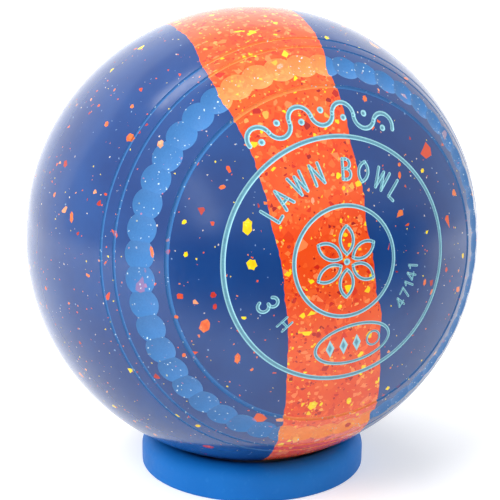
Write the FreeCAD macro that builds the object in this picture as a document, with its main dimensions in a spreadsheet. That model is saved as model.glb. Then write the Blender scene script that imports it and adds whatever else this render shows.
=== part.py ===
"""Lawn bowl, moulded from three resin sections, on its display ring.

Millimetres, +Z up. The origin is on the table under the centre of the bowl. The bowl is drawn about
its own axis, local +Z towards the face with the large ring, and each of its pieces is then placed
with that face towards -Y, tipped up by face_tilt. Local +X is the face's right and local +Y its top.
"""
import FreeCAD
import Part
import Sketcher
import math
import os
from FreeCAD import Placement, Rotation, Vector

os.makedirs("parts", exist_ok=True)
doc = FreeCAD.newDocument("lawn_bowl")

# ---------------------------------------------------------------- driving sizes
SIZES = {
    # bowl
    "running_radius": 61.0,  # half the diameter over the running surface
    "flank_offset": 5.2,  # the flank's arc is centred this far out from the axis
    "bias_fullness": 0.6,  # the bias side's arc is centred this much nearer the axis
    "face_edge_radius": 38.9,  # where the flank meets the domed face
    "face_rise": 9.93,  # from that edge to the pole
    "face_tilt": 3.0,  # the ringed face looks up by this angle, degrees
    "underside_gap": 2.88,  # from the table to the running surface
    # turned grooves, outermost first
    "groove_a_radius": 50.45,
    "groove_b_radius": 48.25,
    "fine_groove_width": 0.7,
    "edge_groove_width": 1.1,
    # grip
    "scoop_count": 49,
    "scoop_circle_radius": 43.8,
    "scoop_length": 7.7,
    "scoop_depth": 1.0,
    # engraving
    "large_ring_radius": 27.7,
    "large_ring_width": 1.2,
    "small_ring_radius": 12.5,
    "small_ring_width": 1.0,
    "back_ring_radius": 20.0,
    "engraving_depth": 0.5,
    "paint_sink": 0.12,  # the paint lies this far below the face
    "stroke_width": 0.8,
    "ornament_width": 1.1,
    "emblem_radius": 8.0,
    "back_emblem_radius": 12.0,
    "wave_radius": 32.8,
    "wave_swing": 2.5,
    "letter_radius": 18.2,
    "letter_size": 4.5,
    "size_mark_size": 4.2,
    "serial_radius": 17.2,
    "serial_size": 2.7,
    "stamp_length": 20.0,
    "stamp_height": 10.0,
    "stamp_distance": 19.6,
    # chips
    "chip_depth": 1.2,
    # display ring
    "ring_outer_radius": 31.3,
    "ring_inner_radius": 15.5,
    "ring_wall_height": 4.4,  # where the upright outer wall turns into the rounded shoulder
    "ring_shoulder": 7.0,  # from the outer wall in to the edge of the seat
    "ring_foot_chamfer": 0.4,
    "seat_clearance": 0.3,
}

# Edges of the orange band on the face, as points (x, y) of a smooth curve from top to bottom.
BAND_LEFT_EDGE = [(-24.0, 66), (-25.0, 42), (-19.1, 20), (-15.6, 0), (-13.2, -20), (-10.8, -40), (-6.0, -66)]
BAND_RIGHT_EDGE = [(6.6, 66), (2.6, 42), (4.4, 20), (6.8, 0), (10.5, -20), (14.2, -40), (18.8, -66)]

# Large inlaid chips of the ringed side: (x, y, length, width, turn in degrees).
YELLOW_CHIPS = [
    (-22.3, 8.8, 4.0, 2.3, 80), (-21.7, 0.5, 3.0, 2.2, 100), (-35.0, 10.0, 1.4, 1.0, 30),
    (-35.0, 3.0, 1.3, 1.0, 60), (-29.0, -40.0, 1.6, 1.2, 10), (22.9, 19.2, 1.5, 1.1, 40),
    (36.8, -2.3, 1.5, 1.2, 90), (-4.8, -34.6, 3.0, 2.5, 70), (4.8, -34.8, 2.5, 1.5, 95),
    (-1.5, -10.2, 1.3, 1.0, 20), (0.0, 16.3, 1.1, 0.9, 50), (-12.2, 51.5, 1.6, 1.2, 15),
]
ORANGE_CHIPS = [
    (-31.2, -13.0, 3.6, 2.6, 70), (-24.0, -21.0, 3.0, 1.5, 85), (-26.9, 17.3, 1.6, 1.0, 0),
    (-41.5, 3.5, 2.8, 1.1, 95), (-42.6, 28.0, 2.2, 2.0, 30), (-46.0, 31.0, 1.6, 1.4, 60),
    (-54.8, 10.0, 2.8, 1.3, 85), (15.5, 18.5, 1.9, 0.9, 75), (15.8, 20.9, 1.1, 1.0, 10),
    (22.4, -7.0, 1.9, 1.0, 80), (9.3, 36.0, 1.9, 1.4, 60), (27.0, 41.0, 2.5, 1.1, 5),
    (-37.0, -11.0, 1.2, 1.0, 20), (-35.0, -20.0, 1.2, 1.0, 50),
]
RED_CHIPS = [
    (-29.7, -6.0, 1.5, 1.4, 0), (-29.3, -8.6, 1.5, 1.0, 80), (-24.2, -48.0, 3.4, 2.4, 20),
    (-12.5, -8.0, 1.4, 1.1, 40), (-13.6, 4.1, 1.1, 0.9, 10), (8.6, -44.0, 2.0, 1.4, 60),
]
PEACH_CHIPS = [
    (-37.5, 26.7, 2.0, 1.6, 70), (-9.0, 44.0, 1.8, 1.2, 20), (-7.7, 13.9, 1.4, 0.8, 80),
    (1.0, -47.0, 1.7, 1.3, 45), (31.0, -27.0, 1.6, 1.1, 30), (45.0, 12.0, 1.7, 1.2, 75),
]
BACK_CHIPS_EACH = 9  # chips of each colour on the bias side
GOLDEN_ANGLE = 137.508  # spreads them evenly, degrees
BACK_CHIP_FIRST_RADIUS = 24.0
BACK_CHIP_RADIUS_STEP = 3.6
BACK_CHIP_SHORTEST = 1.4
BACK_CHIP_LENGTH_STEP = 0.9  # between its three lengths
BACK_CHIP_WIDTH = 0.72  # of its length
BACK_CHIP_TURN = 40  # from each chip to the next, degrees

# ---------------------------------------------------------------- sizes that follow
REACH = 80.0  # half the height of any tool that passes right through the bowl
FRONT = 1
BACK = -1


def flank_offset(side):
    if side == FRONT:
        return SIZES["flank_offset"]
    return SIZES["flank_offset"] - SIZES["bias_fullness"]


def flank_arc_radius(side):
    return SIZES["running_radius"] - flank_offset(side)


def flank_height(radius, side):
    """Height of the flank above the middle plane at this distance from the axis."""
    return math.sqrt(flank_arc_radius(side) ** 2 - (radius - flank_offset(side)) ** 2)


def face_edge_height(side):
    return flank_height(SIZES["face_edge_radius"], side)


POLE_HEIGHT = face_edge_height(FRONT) + SIZES["face_rise"]  # the same on both sides


def dome_radius(side):
    rise = POLE_HEIGHT - face_edge_height(side)
    return (SIZES["face_edge_radius"] ** 2 + rise**2) / (2 * rise)


def dome_centre(side):
    """Height of the face's centre of curvature, on that side."""
    return POLE_HEIGHT - dome_radius(side)


def dome_height(radius, side):
    return dome_centre(side) + math.sqrt(dome_radius(side) ** 2 - radius**2)


def surface(x, y, side):
    """Point and outward normal on the unworn surface above (x, y)."""
    radius = math.hypot(x, y)
    if radius < SIZES["face_edge_radius"]:
        point = Vector(x, y, dome_height(radius, side))
        centre = Vector(0, 0, dome_centre(side))
    else:
        point = Vector(x, y, flank_height(radius, side))
        centre = Vector(x, y, 0) * (flank_offset(side) / radius)
    return point, (point - centre).normalize()


def scoop_ball_radius():
    half = SIZES["scoop_length"] / 2
    return (half**2 + SIZES["scoop_depth"] ** 2) / (2 * SIZES["scoop_depth"])


def scoop_ball_centre(side):
    """Radius and height of the centre of the ball that cuts one scoop."""
    along = SIZES["scoop_circle_radius"] - flank_offset(side)
    angle = math.acos(along / flank_arc_radius(side))
    distance = flank_arc_radius(side) + scoop_ball_radius() - SIZES["scoop_depth"]
    return flank_offset(side) + distance * math.cos(angle), distance * math.sin(angle)


CENTRE_HEIGHT = SIZES["running_radius"] + SIZES["underside_gap"]
SEAT_RADIUS = SIZES["running_radius"] + SIZES["seat_clearance"]
SEAT_EDGE_RADIUS = SIZES["ring_outer_radius"] - SIZES["ring_shoulder"]


def seat_height(radius):
    return CENTRE_HEIGHT - math.sqrt(SEAT_RADIUS**2 - radius**2)


# ---------------------------------------------------------------- the sheet
def make_sheet():
    sheet = doc.addObject("Spreadsheet::Sheet", "sizes")
    followers = {
        "centre_height": CENTRE_HEIGHT,
        "standing_turn": 90 - SIZES["face_tilt"],
        "pole_height": POLE_HEIGHT,
        "front_flank_arc": flank_arc_radius(FRONT),
        "back_flank_arc": flank_arc_radius(BACK),
        "front_dome": dome_radius(FRONT),
        "back_dome": dome_radius(BACK),
        "front_dome_centre": dome_centre(FRONT),
        "back_dome_centre": -dome_centre(BACK),
        "scoop_ball": scoop_ball_radius(),
        "front_scoop_out": scoop_ball_centre(FRONT)[0],
        "front_scoop_up": scoop_ball_centre(FRONT)[1],
        "back_scoop_out": scoop_ball_centre(BACK)[0],
        "back_scoop_up": -scoop_ball_centre(BACK)[1],
        "seat_radius": SEAT_RADIUS,
        "large_ring_height": dome_height(SIZES["large_ring_radius"], FRONT),
        "small_ring_height": dome_height(SIZES["small_ring_radius"], FRONT),
        "back_ring_height": -dome_height(SIZES["back_ring_radius"], BACK),
    }
    for row, (name, value) in enumerate({**SIZES, **followers}.items(), start=1):
        sheet.set(f"A{row}", name)
        sheet.set(f"B{row}", repr(float(value)))
        sheet.setAlias(f"B{row}", name)
    doc.recompute()
    return sheet


sizes = make_sheet()


# ---------------------------------------------------------------- helpers for bodies
def origin_item(body, role):
    return next(item for item in body.Origin.OriginFeatures if item.Role == role)


def new_sketch(body, name):
    sketch = body.newObject("Sketcher::SketchObject", name)
    sketch.AttachmentSupport = [(origin_item(body, "XZ_Plane"), "")]
    sketch.MapMode = "FlatFace"
    return sketch


def end_points(edge):
    return {1: edge.StartPoint, 2: edge.EndPoint}


def add_outline(sketch, edges):
    """Adds the edges of a closed outline in turn and ties each end to the next."""
    first = sketch.GeometryCount
    for edge in edges:
        sketch.addGeometry(edge, False)
    count = len(edges)
    for i in range(count):
        here = end_points(sketch.Geometry[first + i])
        after = end_points(sketch.Geometry[first + (i + 1) % count])
        pairs = [(here[a].distanceToPoint(after[b]), a, b) for a in here for b in after]
        _, a, b = min(pairs)
        sketch.addConstraint(Sketcher.Constraint("Coincident", first + i, a, first + (i + 1) % count, b))


def bind(sketch, constraint, alias):
    """Adds a constraint and ties its value to a cell."""
    index = sketch.addConstraint(constraint)
    sketch.setExpression(f"Constraints[{index}]", f"sizes.{alias}")


def flat(x, y):
    return Vector(x, y, 0)


def arc_about(centre, one_end, other_end):
    """Counter-clockwise arc between two points, the short way round this centre."""
    circle = Part.Circle(centre, Vector(0, 0, 1), (one_end - centre).Length)
    first = math.atan2(one_end.y - centre.y, one_end.x - centre.x)
    last = math.atan2(other_end.y - centre.y, other_end.x - centre.x)
    first, last = min(first, last), max(first, last)
    if last - first > math.pi:
        first, last = last, first + 2 * math.pi
    return Part.ArcOfCircle(circle, first, last)


def turn_profile(body, kind, sketch):
    feature = body.newObject(kind, f"{sketch.Name}_turned")
    feature.Profile = sketch
    feature.ReferenceAxis = (sketch, ["V_Axis"])
    feature.Angle = 360
    sketch.Visibility = False
    return feature


# ---------------------------------------------------------------- the bowl before it is divided
def sketch_bowl_profile(body):
    """Half section: front face, front flank, back flank, back face and the axis."""
    sketch = new_sketch(body, "bowl_profile")
    edge = SIZES["face_edge_radius"]
    front_pole = flat(0, POLE_HEIGHT)
    front_edge = flat(edge, face_edge_height(FRONT))
    equator = flat(SIZES["running_radius"], 0)
    back_edge = flat(edge, -face_edge_height(BACK))
    back_pole = flat(0, -POLE_HEIGHT)
    add_outline(sketch, [
        arc_about(flat(0, dome_centre(FRONT)), front_pole, front_edge),
        arc_about(flat(flank_offset(FRONT), 0), front_edge, equator),
        arc_about(flat(flank_offset(BACK), 0), equator, back_edge),
        arc_about(flat(0, -dome_centre(BACK)), back_edge, back_pole),
        Part.LineSegment(back_pole, front_pole),
    ])
    bind(sketch, Sketcher.Constraint("Radius", 0, dome_radius(FRONT)), "front_dome")
    bind(sketch, Sketcher.Constraint("Radius", 1, flank_arc_radius(FRONT)), "front_flank_arc")
    bind(sketch, Sketcher.Constraint("Radius", 2, flank_arc_radius(BACK)), "back_flank_arc")
    bind(sketch, Sketcher.Constraint("Radius", 3, dome_radius(BACK)), "back_dome")
    return sketch


def sketch_groove_cutters(body):
    """One small circle on the surface for each turned groove."""
    sketch = new_sketch(body, "groove_cutters")
    grooves = [
        ("groove_a_radius", "fine_groove_width"),
        ("groove_b_radius", "fine_groove_width"),
        ("face_edge_radius", "edge_groove_width"),
    ]
    for side in (FRONT, BACK):
        for place, width in grooves:
            radius = SIZES[place]
            centre = flat(radius, side * flank_height(radius, side))
            index = sketch.addGeometry(Part.Circle(centre, Vector(0, 0, 1), SIZES[width] / 2), False)
            bind(sketch, Sketcher.Constraint("Diameter", index, SIZES[width]), width)
            bind(sketch, Sketcher.Constraint("DistanceX", -1, 1, index, 3, radius), place)
    return sketch


def add_scoops(body):
    """A ring of ball-cut scoops on each side, patterned about the bowl's axis."""
    balls = []
    for name in ("front_scoop", "back_scoop"):
        ball = body.newObject("PartDesign::SubtractiveSphere", name)
        ball.AttachmentSupport = [(origin_item(body, "XY_Plane"), "")]
        ball.MapMode = "FlatFace"
        ball.setExpression("Radius", "sizes.scoop_ball")
        ball.setExpression("AttachmentOffset.Base.x", f"sizes.{name}_out")
        ball.setExpression("AttachmentOffset.Base.z", f"sizes.{name}_up")
        doc.recompute()
        balls.append(ball)
    pattern = body.newObject("PartDesign::PolarPattern", "scoop_pattern")
    pattern.Originals = balls
    pattern.Axis = (origin_item(body, "Z_Axis"), [""])
    pattern.Angle = 360
    pattern.setExpression("Occurrences", "sizes.scoop_count")
    body.Tip = pattern


def make_blank():
    body = doc.addObject("PartDesign::Body", "bowl_blank")
    turn_profile(body, "PartDesign::Revolution", sketch_bowl_profile(body))
    doc.recompute()
    whole = body.Shape.Volume
    turn_profile(body, "PartDesign::Groove", sketch_groove_cutters(body))
    doc.recompute()
    grooved = body.Shape.Volume
    add_scoops(body)
    doc.recompute()
    scooped = body.Shape.Volume
    if not scooped < grooved < whole:
        raise RuntimeError("a groove or a scoop cut nothing")
    return body


# ---------------------------------------------------------------- line work
def slot(start, end, width):
    """Straight stroke with round ends."""
    along = (end - start).normalize() * (width / 2)
    across = Vector(-along.y, along.x, 0)
    far_end = Part.Arc(end + across, end + along, end - across).toShape()
    near_end = Part.Arc(start - across, start - along, start + across).toShape()
    near_side = Part.makeLine(start + across, end + across)
    far_side = Part.makeLine(end - across, start - across)
    return Part.Face(Part.Wire([near_side, far_end, far_side, near_end]))


def outline_of(edges, width):
    """Outline with round ends about an open run of edges, facing +Z so that outlines fuse."""
    if len(edges) == 1 and isinstance(edges[0].Curve, Part.Line):  # it has no plane to be offset in
        face = slot(edges[0].Vertexes[0].Point, edges[0].Vertexes[-1].Point, width)
    else:
        face = Part.Face(Part.Wire(edges).makeOffset2D(width / 2))
    if face.normalAt(0, 0).z < 0:
        face.reverse()
    return face


def hoop(centre, radius, width):
    rims = [Part.Wire(Part.makeCircle(radius + sign * width / 2, centre)) for sign in (1, -1)]
    return Part.makeFace(rims, "Part::FaceMakerBullseye")


def disc(centre, radius):
    return Part.Face(Part.Wire(Part.makeCircle(radius, centre)))


def run(*points):
    """Edges through points. A point given as a 2-tuple ends a line, one as a pair of them an arc."""
    edges = []
    here = flat(*points[0])
    for step in points[1:]:
        if isinstance(step[0], tuple):
            edges.append(Part.Arc(here, flat(*step[0]), flat(*step[1])).toShape())
            here = flat(*step[1])
        else:
            edges.append(Part.makeLine(here, flat(*step)))
            here = flat(*step)
    return edges


# Plain line letters in a box one high, with the width of each. Each run is one stroke.
GLYPHS = {
    "A": (0.54, [run((0, 0), (0.27, 1), (0.54, 0)), run((0.1, 0.35), (0.44, 0.35))]),
    "B": (0.44, [run((0.2, 0.53), (0, 0.53), (0, 1), (0.2, 1), ((0.4, 0.765), (0.2, 0.53))),
                 run((0, 0.53), (0, 0), (0.2, 0), ((0.44, 0.265), (0.2, 0.53)))]),
    "H": (0.60, [run((0, 0), (0, 1)), run((0.6, 0), (0.6, 1)), run((0, 0.5), (0.6, 0.5))]),
    "L": (0.36, [run((0, 1), (0, 0), (0.36, 0))]),
    "N": (0.46, [run((0, 0), (0, 1), (0.46, 0), (0.46, 1))]),
    "O": (0.54, None),
    "W": (0.72, [run((0, 1), (0.18, 0), (0.36, 0.9), (0.54, 0), (0.72, 1))]),
    "1": (0.25, [run((0, 0.78), (0.25, 1), (0.25, 0))]),
    "3": (0.56, [run((0.02, 0.86), ((0.52, 0.77), (0.25, 0.53))),
                 run((0.25, 0.53), ((0.56, 0.26), (0, 0.14)))]),
    "4": (0.62, [run((0.46, 0), (0.46, 1), (0, 0.3)), run((0, 0.3), (0.62, 0.3))]),
    "7": (0.58, [run((0, 1), (0.58, 1), (0.2, 0))]),
}
LETTER_GAP = 0.36
DIGIT_GAP = 0.42
SPACE_WIDTH = 0.3


def glyph_faces(letter, size, width):
    """Faces of one letter, its lower left corner at the origin."""
    if GLYPHS[letter][1] is None:
        middle = GLYPHS[letter][0] * size / 2
        left_side = ((0, size / 2), (middle, 0))
        right_side = ((2 * middle, size / 2), (middle, size))
        wire = Part.Wire(run((middle, size), left_side, right_side))
        rims = [wire.makeOffset2D(sign * width / 2) for sign in (1, -1)]
        return [Part.makeFace(rims, "Part::FaceMakerBullseye")]
    faces = []
    for stroke in GLYPHS[letter][1]:
        edges = [edge.copy().scale(size) for edge in stroke]
        faces.append(outline_of(edges, width))
    if len(faces) == 1:
        return faces
    return faces[0].multiFuse(faces[1:]).removeSplitter().Faces


def placed(faces, x, y, turn):
    """Copies of faces turned by this angle about the origin and then moved."""
    move = Placement(Vector(x, y, 0), Rotation(Vector(0, 0, 1), turn))
    copies = [face.copy() for face in faces]
    for copy in copies:
        copy.Placement = move.multiply(copy.Placement)
    return copies


def word_on_arc(text, radius, size, middle_angle, width, outward=True):
    """Letters on an arc about the centre, tops outward or, for a word read from below, inward."""
    gap = DIGIT_GAP if text.isdigit() else LETTER_GAP
    widths = [SPACE_WIDTH if letter == " " else GLYPHS[letter][0] for letter in text]
    total = sum(widths) + gap * (len(text) - 1)
    sign = 1 if outward else -1
    faces = []
    along = -total / 2
    for letter, letter_width in zip(text, widths):
        if letter != " ":
            centre = along + letter_width / 2
            angle = math.radians(middle_angle) - sign * centre * size / radius
            turn = math.degrees(angle) - 90 * sign
            x = radius * math.cos(angle)
            y = radius * math.sin(angle)
            back = Rotation(Vector(0, 0, 1), turn).multVec(Vector(-letter_width * size / 2, 0, 0))
            faces += placed(glyph_faces(letter, size, width), x + back.x, y + back.y, turn)
        along += letter_width + gap
    return faces


def polar(radius, angle):
    return (radius * math.cos(math.radians(angle)), radius * math.sin(math.radians(angle)))


PETAL_START = 0.22  # of the rosette's radius
ROSETTE_DISC = 0.1  # radius of the middle disc, of the rosette's radius


def rosette(petals, radius, width):
    """Petals of two arcs each, from near the centre to the tip, round a small disc."""
    start = PETAL_START * radius
    faces = [disc(flat(0, 0), ROSETTE_DISC * radius)]
    middle = (start + radius) / 2
    bulge = middle * math.sin(math.pi / petals) - width
    for i in range(petals):
        petal = run((start, 0), ((middle, bulge), (radius, 0)), ((middle, -bulge), (start, 0)))
        rims = [Part.Wire(petal).makeOffset2D(sign * width / 2) for sign in (1, -1)]
        face = Part.makeFace(rims, "Part::FaceMakerBullseye")
        faces += placed([face], 0, 0, 90 + 360 * i / petals)
    return faces


WAVE_DOT_DISTANCE = 0.35  # of the swing, from the wave's middle line into the hollow
WAVE_DOT_RADIUS = 0.7  # of the wave's line width


def wave(radius, swing, first_angle, last_angle, halves, width):
    """A running wave along an arc, with a dot in each hollow."""
    step = (last_angle - first_angle) / halves
    points = [polar(radius, first_angle)]
    faces = []
    for i in range(halves):
        side = 1 if i % 2 == 0 else -1
        middle = first_angle + (i + 0.5) * step
        end = first_angle + (i + 1) * step
        points.append((polar(radius + side * swing, middle), polar(radius, end)))
        hollow = polar(radius - WAVE_DOT_DISTANCE * side * swing, middle)
        faces.append(disc(flat(*hollow), WAVE_DOT_RADIUS * width))
    faces.append(outline_of(run(*points), width))
    return faces


def oval_hoop(length, height, width):
    rims = []
    for inset in (0, width):
        rim = Part.Ellipse(flat(0, 0), length / 2 - inset, height / 2 - inset)
        rims.append(Part.Wire(rim.toShape()))
    return Part.makeFace(rims, "Part::FaceMakerBullseye")


def lozenge(x, half_width, half_height):
    corners = [flat(x - half_width, 0), flat(x, half_height), flat(x + half_width, 0), flat(x, -half_height)]
    return Part.Face(Part.makePolygon(corners + corners[:1]))


# ---------------------------------------------------------------- paint in the engraving
def sphere(name, radius_expression, centre_alias):
    ball = doc.addObject("Part::Sphere", name)
    ball.setExpression("Radius", radius_expression)
    ball.setExpression("Placement.Base.z", f"sizes.{centre_alias}")
    return ball


def make_face_balls():
    """For each side, the level that the engraving reaches and the level of the paint."""
    balls = {}
    for side, word in ((FRONT, "front"), (BACK, "back")):
        centre = f"{word}_dome_centre"
        floor = f"sizes.{word}_dome - sizes.engraving_depth"
        level = f"sizes.{word}_dome - sizes.paint_sink"
        balls[side] = (sphere(f"{word}_floor", floor, centre), sphere(f"{word}_level", level, centre))
    return balls


def combine(kind, name, base, tool):
    result = doc.addObject(kind, name)
    result.Base = base
    result.Tool = tool
    return result


def stand_up(piece, label):
    """Puts a piece of the bowl where it stands in the display ring."""
    piece.Label = label
    turn = Rotation(Vector(1, 0, 0), 90 - SIZES["face_tilt"])
    piece.Placement = Placement(Vector(0, 0, CENTRE_HEIGHT), turn)
    piece.setExpression("Placement.Base.z", "sizes.centre_height")
    piece.setExpression("Placement.Rotation.Angle", "sizes.standing_turn")
    return piece


def engrave_lines(label, faces, side, balls):
    """Paint in a flat-bottomed engraving of these faces, and the pocket that it lies in."""
    art = doc.addObject("Part::Feature", f"{label}_art")
    art.Shape = Part.Compound(faces)
    if side == BACK:
        art.Placement = Placement(Vector(0, 0, 0), Rotation(Vector(0, 1, 0), 180))
    prism = doc.addObject("Part::Extrusion", f"{label}_prism")
    prism.Base = art
    prism.DirMode = "Custom"
    prism.Dir = Vector(0, 0, side)
    prism.LengthFwd = REACH
    prism.Solid = True
    floor, level = balls[side]
    pocket = combine("Part::Cut", f"{label}_pocket", prism, floor)
    paint = stand_up(combine("Part::Common", f"{label}_fill", pocket, level), label)
    return paint, pocket


def engrave_ring(label, aliases, side, balls):
    """Paint in a round-bottomed ring groove, and the torus that cuts the groove."""
    radius_alias, width_alias, height_alias = aliases
    torus = doc.addObject("Part::Torus", f"{label}_groove")
    torus.setExpression("Radius1", f"sizes.{radius_alias}")
    torus.setExpression("Radius2", f"sizes.{width_alias} / 2")
    torus.setExpression("Placement.Base.z", f"sizes.{height_alias}")
    paint = stand_up(combine("Part::Common", f"{label}_fill", torus, balls[side][1]), label)
    return paint, torus


# Places of the marks: angles in degrees as seen from the front of each face, 0 to the right.
FINE_LINE = 0.7  # of the main stroke's width
FRONT_WAVE = (62, 128, 7)  # first angle, last angle, number of half waves
BACK_WAVE = (35, 145, 11)
BACK_WAVE_INSET = 4.6  # how much nearer the centre it runs than the front one
LETTERING_ANGLE = 97
SIZE_DIGIT_RADIUS = 22.2
SIZE_DIGIT_ANGLE = 205.3
SIZE_LETTER_RADIUS = 21.0
SIZE_LETTER_ANGLE = 223
SIZE_LETTER_SHARE = 0.7  # of the digit's height
SERIAL_ANGLE = 337
STAMP_ANGLE = 278.8
STAMP_TURN = 8.0
FRONT_PETALS = 6
BACK_PETALS = 8

# The stamp's inner marks, as shares of its length (along it) or of its height (radius, half height)
STAMP_HOOP_PLACE = 0.26
STAMP_HOOP_RADIUS = 0.17
LOZENGE_PLACES = (-0.3, -0.13, 0.04)
LOZENGE_HALF_WIDTH = 0.055
LOZENGE_HALF_HEIGHT = 0.22


def make_marks(balls):
    """All paint, as (piece, pocket) pairs."""
    line = SIZES["stroke_width"]
    fine = FINE_LINE * line
    ornament = SIZES["ornament_width"]
    letter = SIZES["letter_size"]
    large_ring = ("large_ring_radius", "large_ring_width", "large_ring_height")
    small_ring = ("small_ring_radius", "small_ring_width", "small_ring_height")
    back_ring = ("back_ring_radius", "large_ring_width", "back_ring_height")
    marks = [
        engrave_ring("large_ring_paint", large_ring, FRONT, balls),
        engrave_ring("small_ring_paint", small_ring, FRONT, balls),
        engrave_ring("back_ring_paint", back_ring, BACK, balls),
    ]

    def add(label, faces, side=FRONT):
        marks.append(engrave_lines(label, faces, side, balls))

    swing = SIZES["wave_swing"]
    add("emblem_paint", rosette(FRONT_PETALS, SIZES["emblem_radius"], line))
    add("wave_ornament_paint", wave(SIZES["wave_radius"], swing, *FRONT_WAVE, ornament))
    lettering = word_on_arc("LAWN BOWL", SIZES["letter_radius"], letter, LETTERING_ANGLE, line)
    add("arc_lettering_paint", lettering)
    digit = SIZES["size_mark_size"]
    size_mark = word_on_arc("3", SIZE_DIGIT_RADIUS, digit, SIZE_DIGIT_ANGLE, line, outward=False)
    small = SIZE_LETTER_SHARE * digit
    size_mark += word_on_arc("H", SIZE_LETTER_RADIUS, small, SIZE_LETTER_ANGLE, fine, outward=False)
    add("size_mark_paint", size_mark)
    serial = SIZES["serial_size"]
    serial_radius = SIZES["serial_radius"] + serial
    add("serial_mark_paint", word_on_arc("47141", serial_radius, serial, SERIAL_ANGLE, fine, outward=False))

    x, y = polar(SIZES["stamp_distance"], STAMP_ANGLE)
    length = SIZES["stamp_length"]
    height = SIZES["stamp_height"]
    add("stamp_border_paint", placed([oval_hoop(length, height, line)], x, y, STAMP_TURN))
    inner = [hoop(flat(STAMP_HOOP_PLACE * length, 0), STAMP_HOOP_RADIUS * height, fine)]
    for place in LOZENGE_PLACES:
        inner.append(lozenge(place * length, LOZENGE_HALF_WIDTH * length, LOZENGE_HALF_HEIGHT * height))
    add("stamp_ornament_paint", placed(inner, x, y, STAMP_TURN))

    add("back_emblem_paint", rosette(BACK_PETALS, SIZES["back_emblem_radius"], line), BACK)
    back_wave = wave(SIZES["wave_radius"] - BACK_WAVE_INSET, swing, *BACK_WAVE, ornament)
    add("back_ornament_paint", back_wave, BACK)
    return marks


# ---------------------------------------------------------------- inlaid chips
CHIP_CORNERS = [(0.50, 0.06), (0.22, 0.50), (-0.28, 0.40), (-0.50, -0.12), (-0.16, -0.50), (0.30, -0.38)]


def chip_block(x, y, length, width, turn, side):
    """Six-cornered block standing on the surface's normal, from under the surface to above it."""
    point, normal = surface(x, y, side)
    depth = SIZES["chip_depth"]
    corners = [Vector(a * length, b * width, -depth) for a, b in CHIP_CORNERS]
    block = Part.Face(Part.makePolygon(corners + corners[:1])).extrude(Vector(0, 0, 2 * depth))
    lean = Rotation(Vector(0, 0, 1), normal)
    spin = Rotation(Vector(0, 0, 1), turn)
    block.Placement = Placement(point, lean.multiply(spin))
    if side == BACK:
        block.rotate(Vector(0, 0, 0), Vector(0, 1, 0), 180)
    return block


def back_chip_places(first):
    """An even spread over the bias side, by steps of the golden angle."""
    places = []
    for k in range(BACK_CHIPS_EACH):
        x, y = polar(BACK_CHIP_FIRST_RADIUS + BACK_CHIP_RADIUS_STEP * k, GOLDEN_ANGLE * k + first)
        length = BACK_CHIP_SHORTEST + BACK_CHIP_LENGTH_STEP * ((3 * k + first) % 3)
        places.append((x, y, length, BACK_CHIP_WIDTH * length, BACK_CHIP_TURN * k))
    return places


def make_chips(label, front_places, back_first, blank, pockets):
    """Chips of one colour: blocks trimmed to the bowl's surface and clear of the engraving."""
    blocks = [chip_block(*place, FRONT) for place in front_places]
    blocks += [chip_block(*place, BACK) for place in back_chip_places(back_first)]
    holder = doc.addObject("Part::Feature", f"{label}_blocks")
    holder.Shape = Part.Compound(blocks)
    flush = combine("Part::Common", f"{label}_flush", holder, blank)
    return stand_up(combine("Part::Cut", f"{label}_inlay", flush, pockets), label), holder


# ---------------------------------------------------------------- the three resin sections
def curve(points):
    spline = Part.BSplineCurve()
    spline.interpolate([flat(*point) for point in points])
    return spline.toShape()


def region(name, left, right):
    """A slab through the bowl between two edges, each drawn from top to bottom."""
    top = Part.makeLine(left.Vertexes[0].Point, right.Vertexes[0].Point)
    bottom = Part.makeLine(left.Vertexes[-1].Point, right.Vertexes[-1].Point)
    outline = Part.Wire(Part.__sortEdges__([left, top, right, bottom]))
    face = doc.addObject("Part::Feature", f"{name}_outline")
    face.Shape = Part.Face(outline)
    face.Placement = Placement(Vector(0, 0, -REACH), Rotation())
    slab = doc.addObject("Part::Extrusion", f"{name}_slab")
    slab.Base = face
    slab.DirMode = "Custom"
    slab.Dir = Vector(0, 0, 1)
    slab.LengthFwd = 2 * REACH
    slab.Solid = True
    return slab


EDGE_REACH = 1.08  # height of a band edge's ends, in running radii


def stretched(points):
    """Band edge with its ends carried out to the bowl's own height."""
    reach = EDGE_REACH * SIZES["running_radius"] / abs(points[0][1])
    return [(x, y * reach if abs(y) == abs(points[0][1]) else y) for x, y in points]


def make_sections(blank, tools):
    beyond = REACH
    left_edge = curve(stretched(BAND_LEFT_EDGE))
    right_edge = curve(stretched(BAND_RIGHT_EDGE))
    top = left_edge.Vertexes[0].Point.y
    far_left = Part.makeLine(flat(-beyond, top), flat(-beyond, -top))
    far_right = Part.makeLine(flat(beyond, top), flat(beyond, -top))
    slabs = {
        "blue_section_left": region("left", far_left, left_edge),
        "orange_band": region("band", left_edge, right_edge),
        "blue_section_right": region("right", right_edge, far_right),
    }
    sections = []
    for label, slab in slabs.items():
        raw = combine("Part::Common", f"{label}_raw", blank, slab)
        sections.append(stand_up(combine("Part::Cut", f"{label}_section", raw, tools), label))
    return sections


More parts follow.
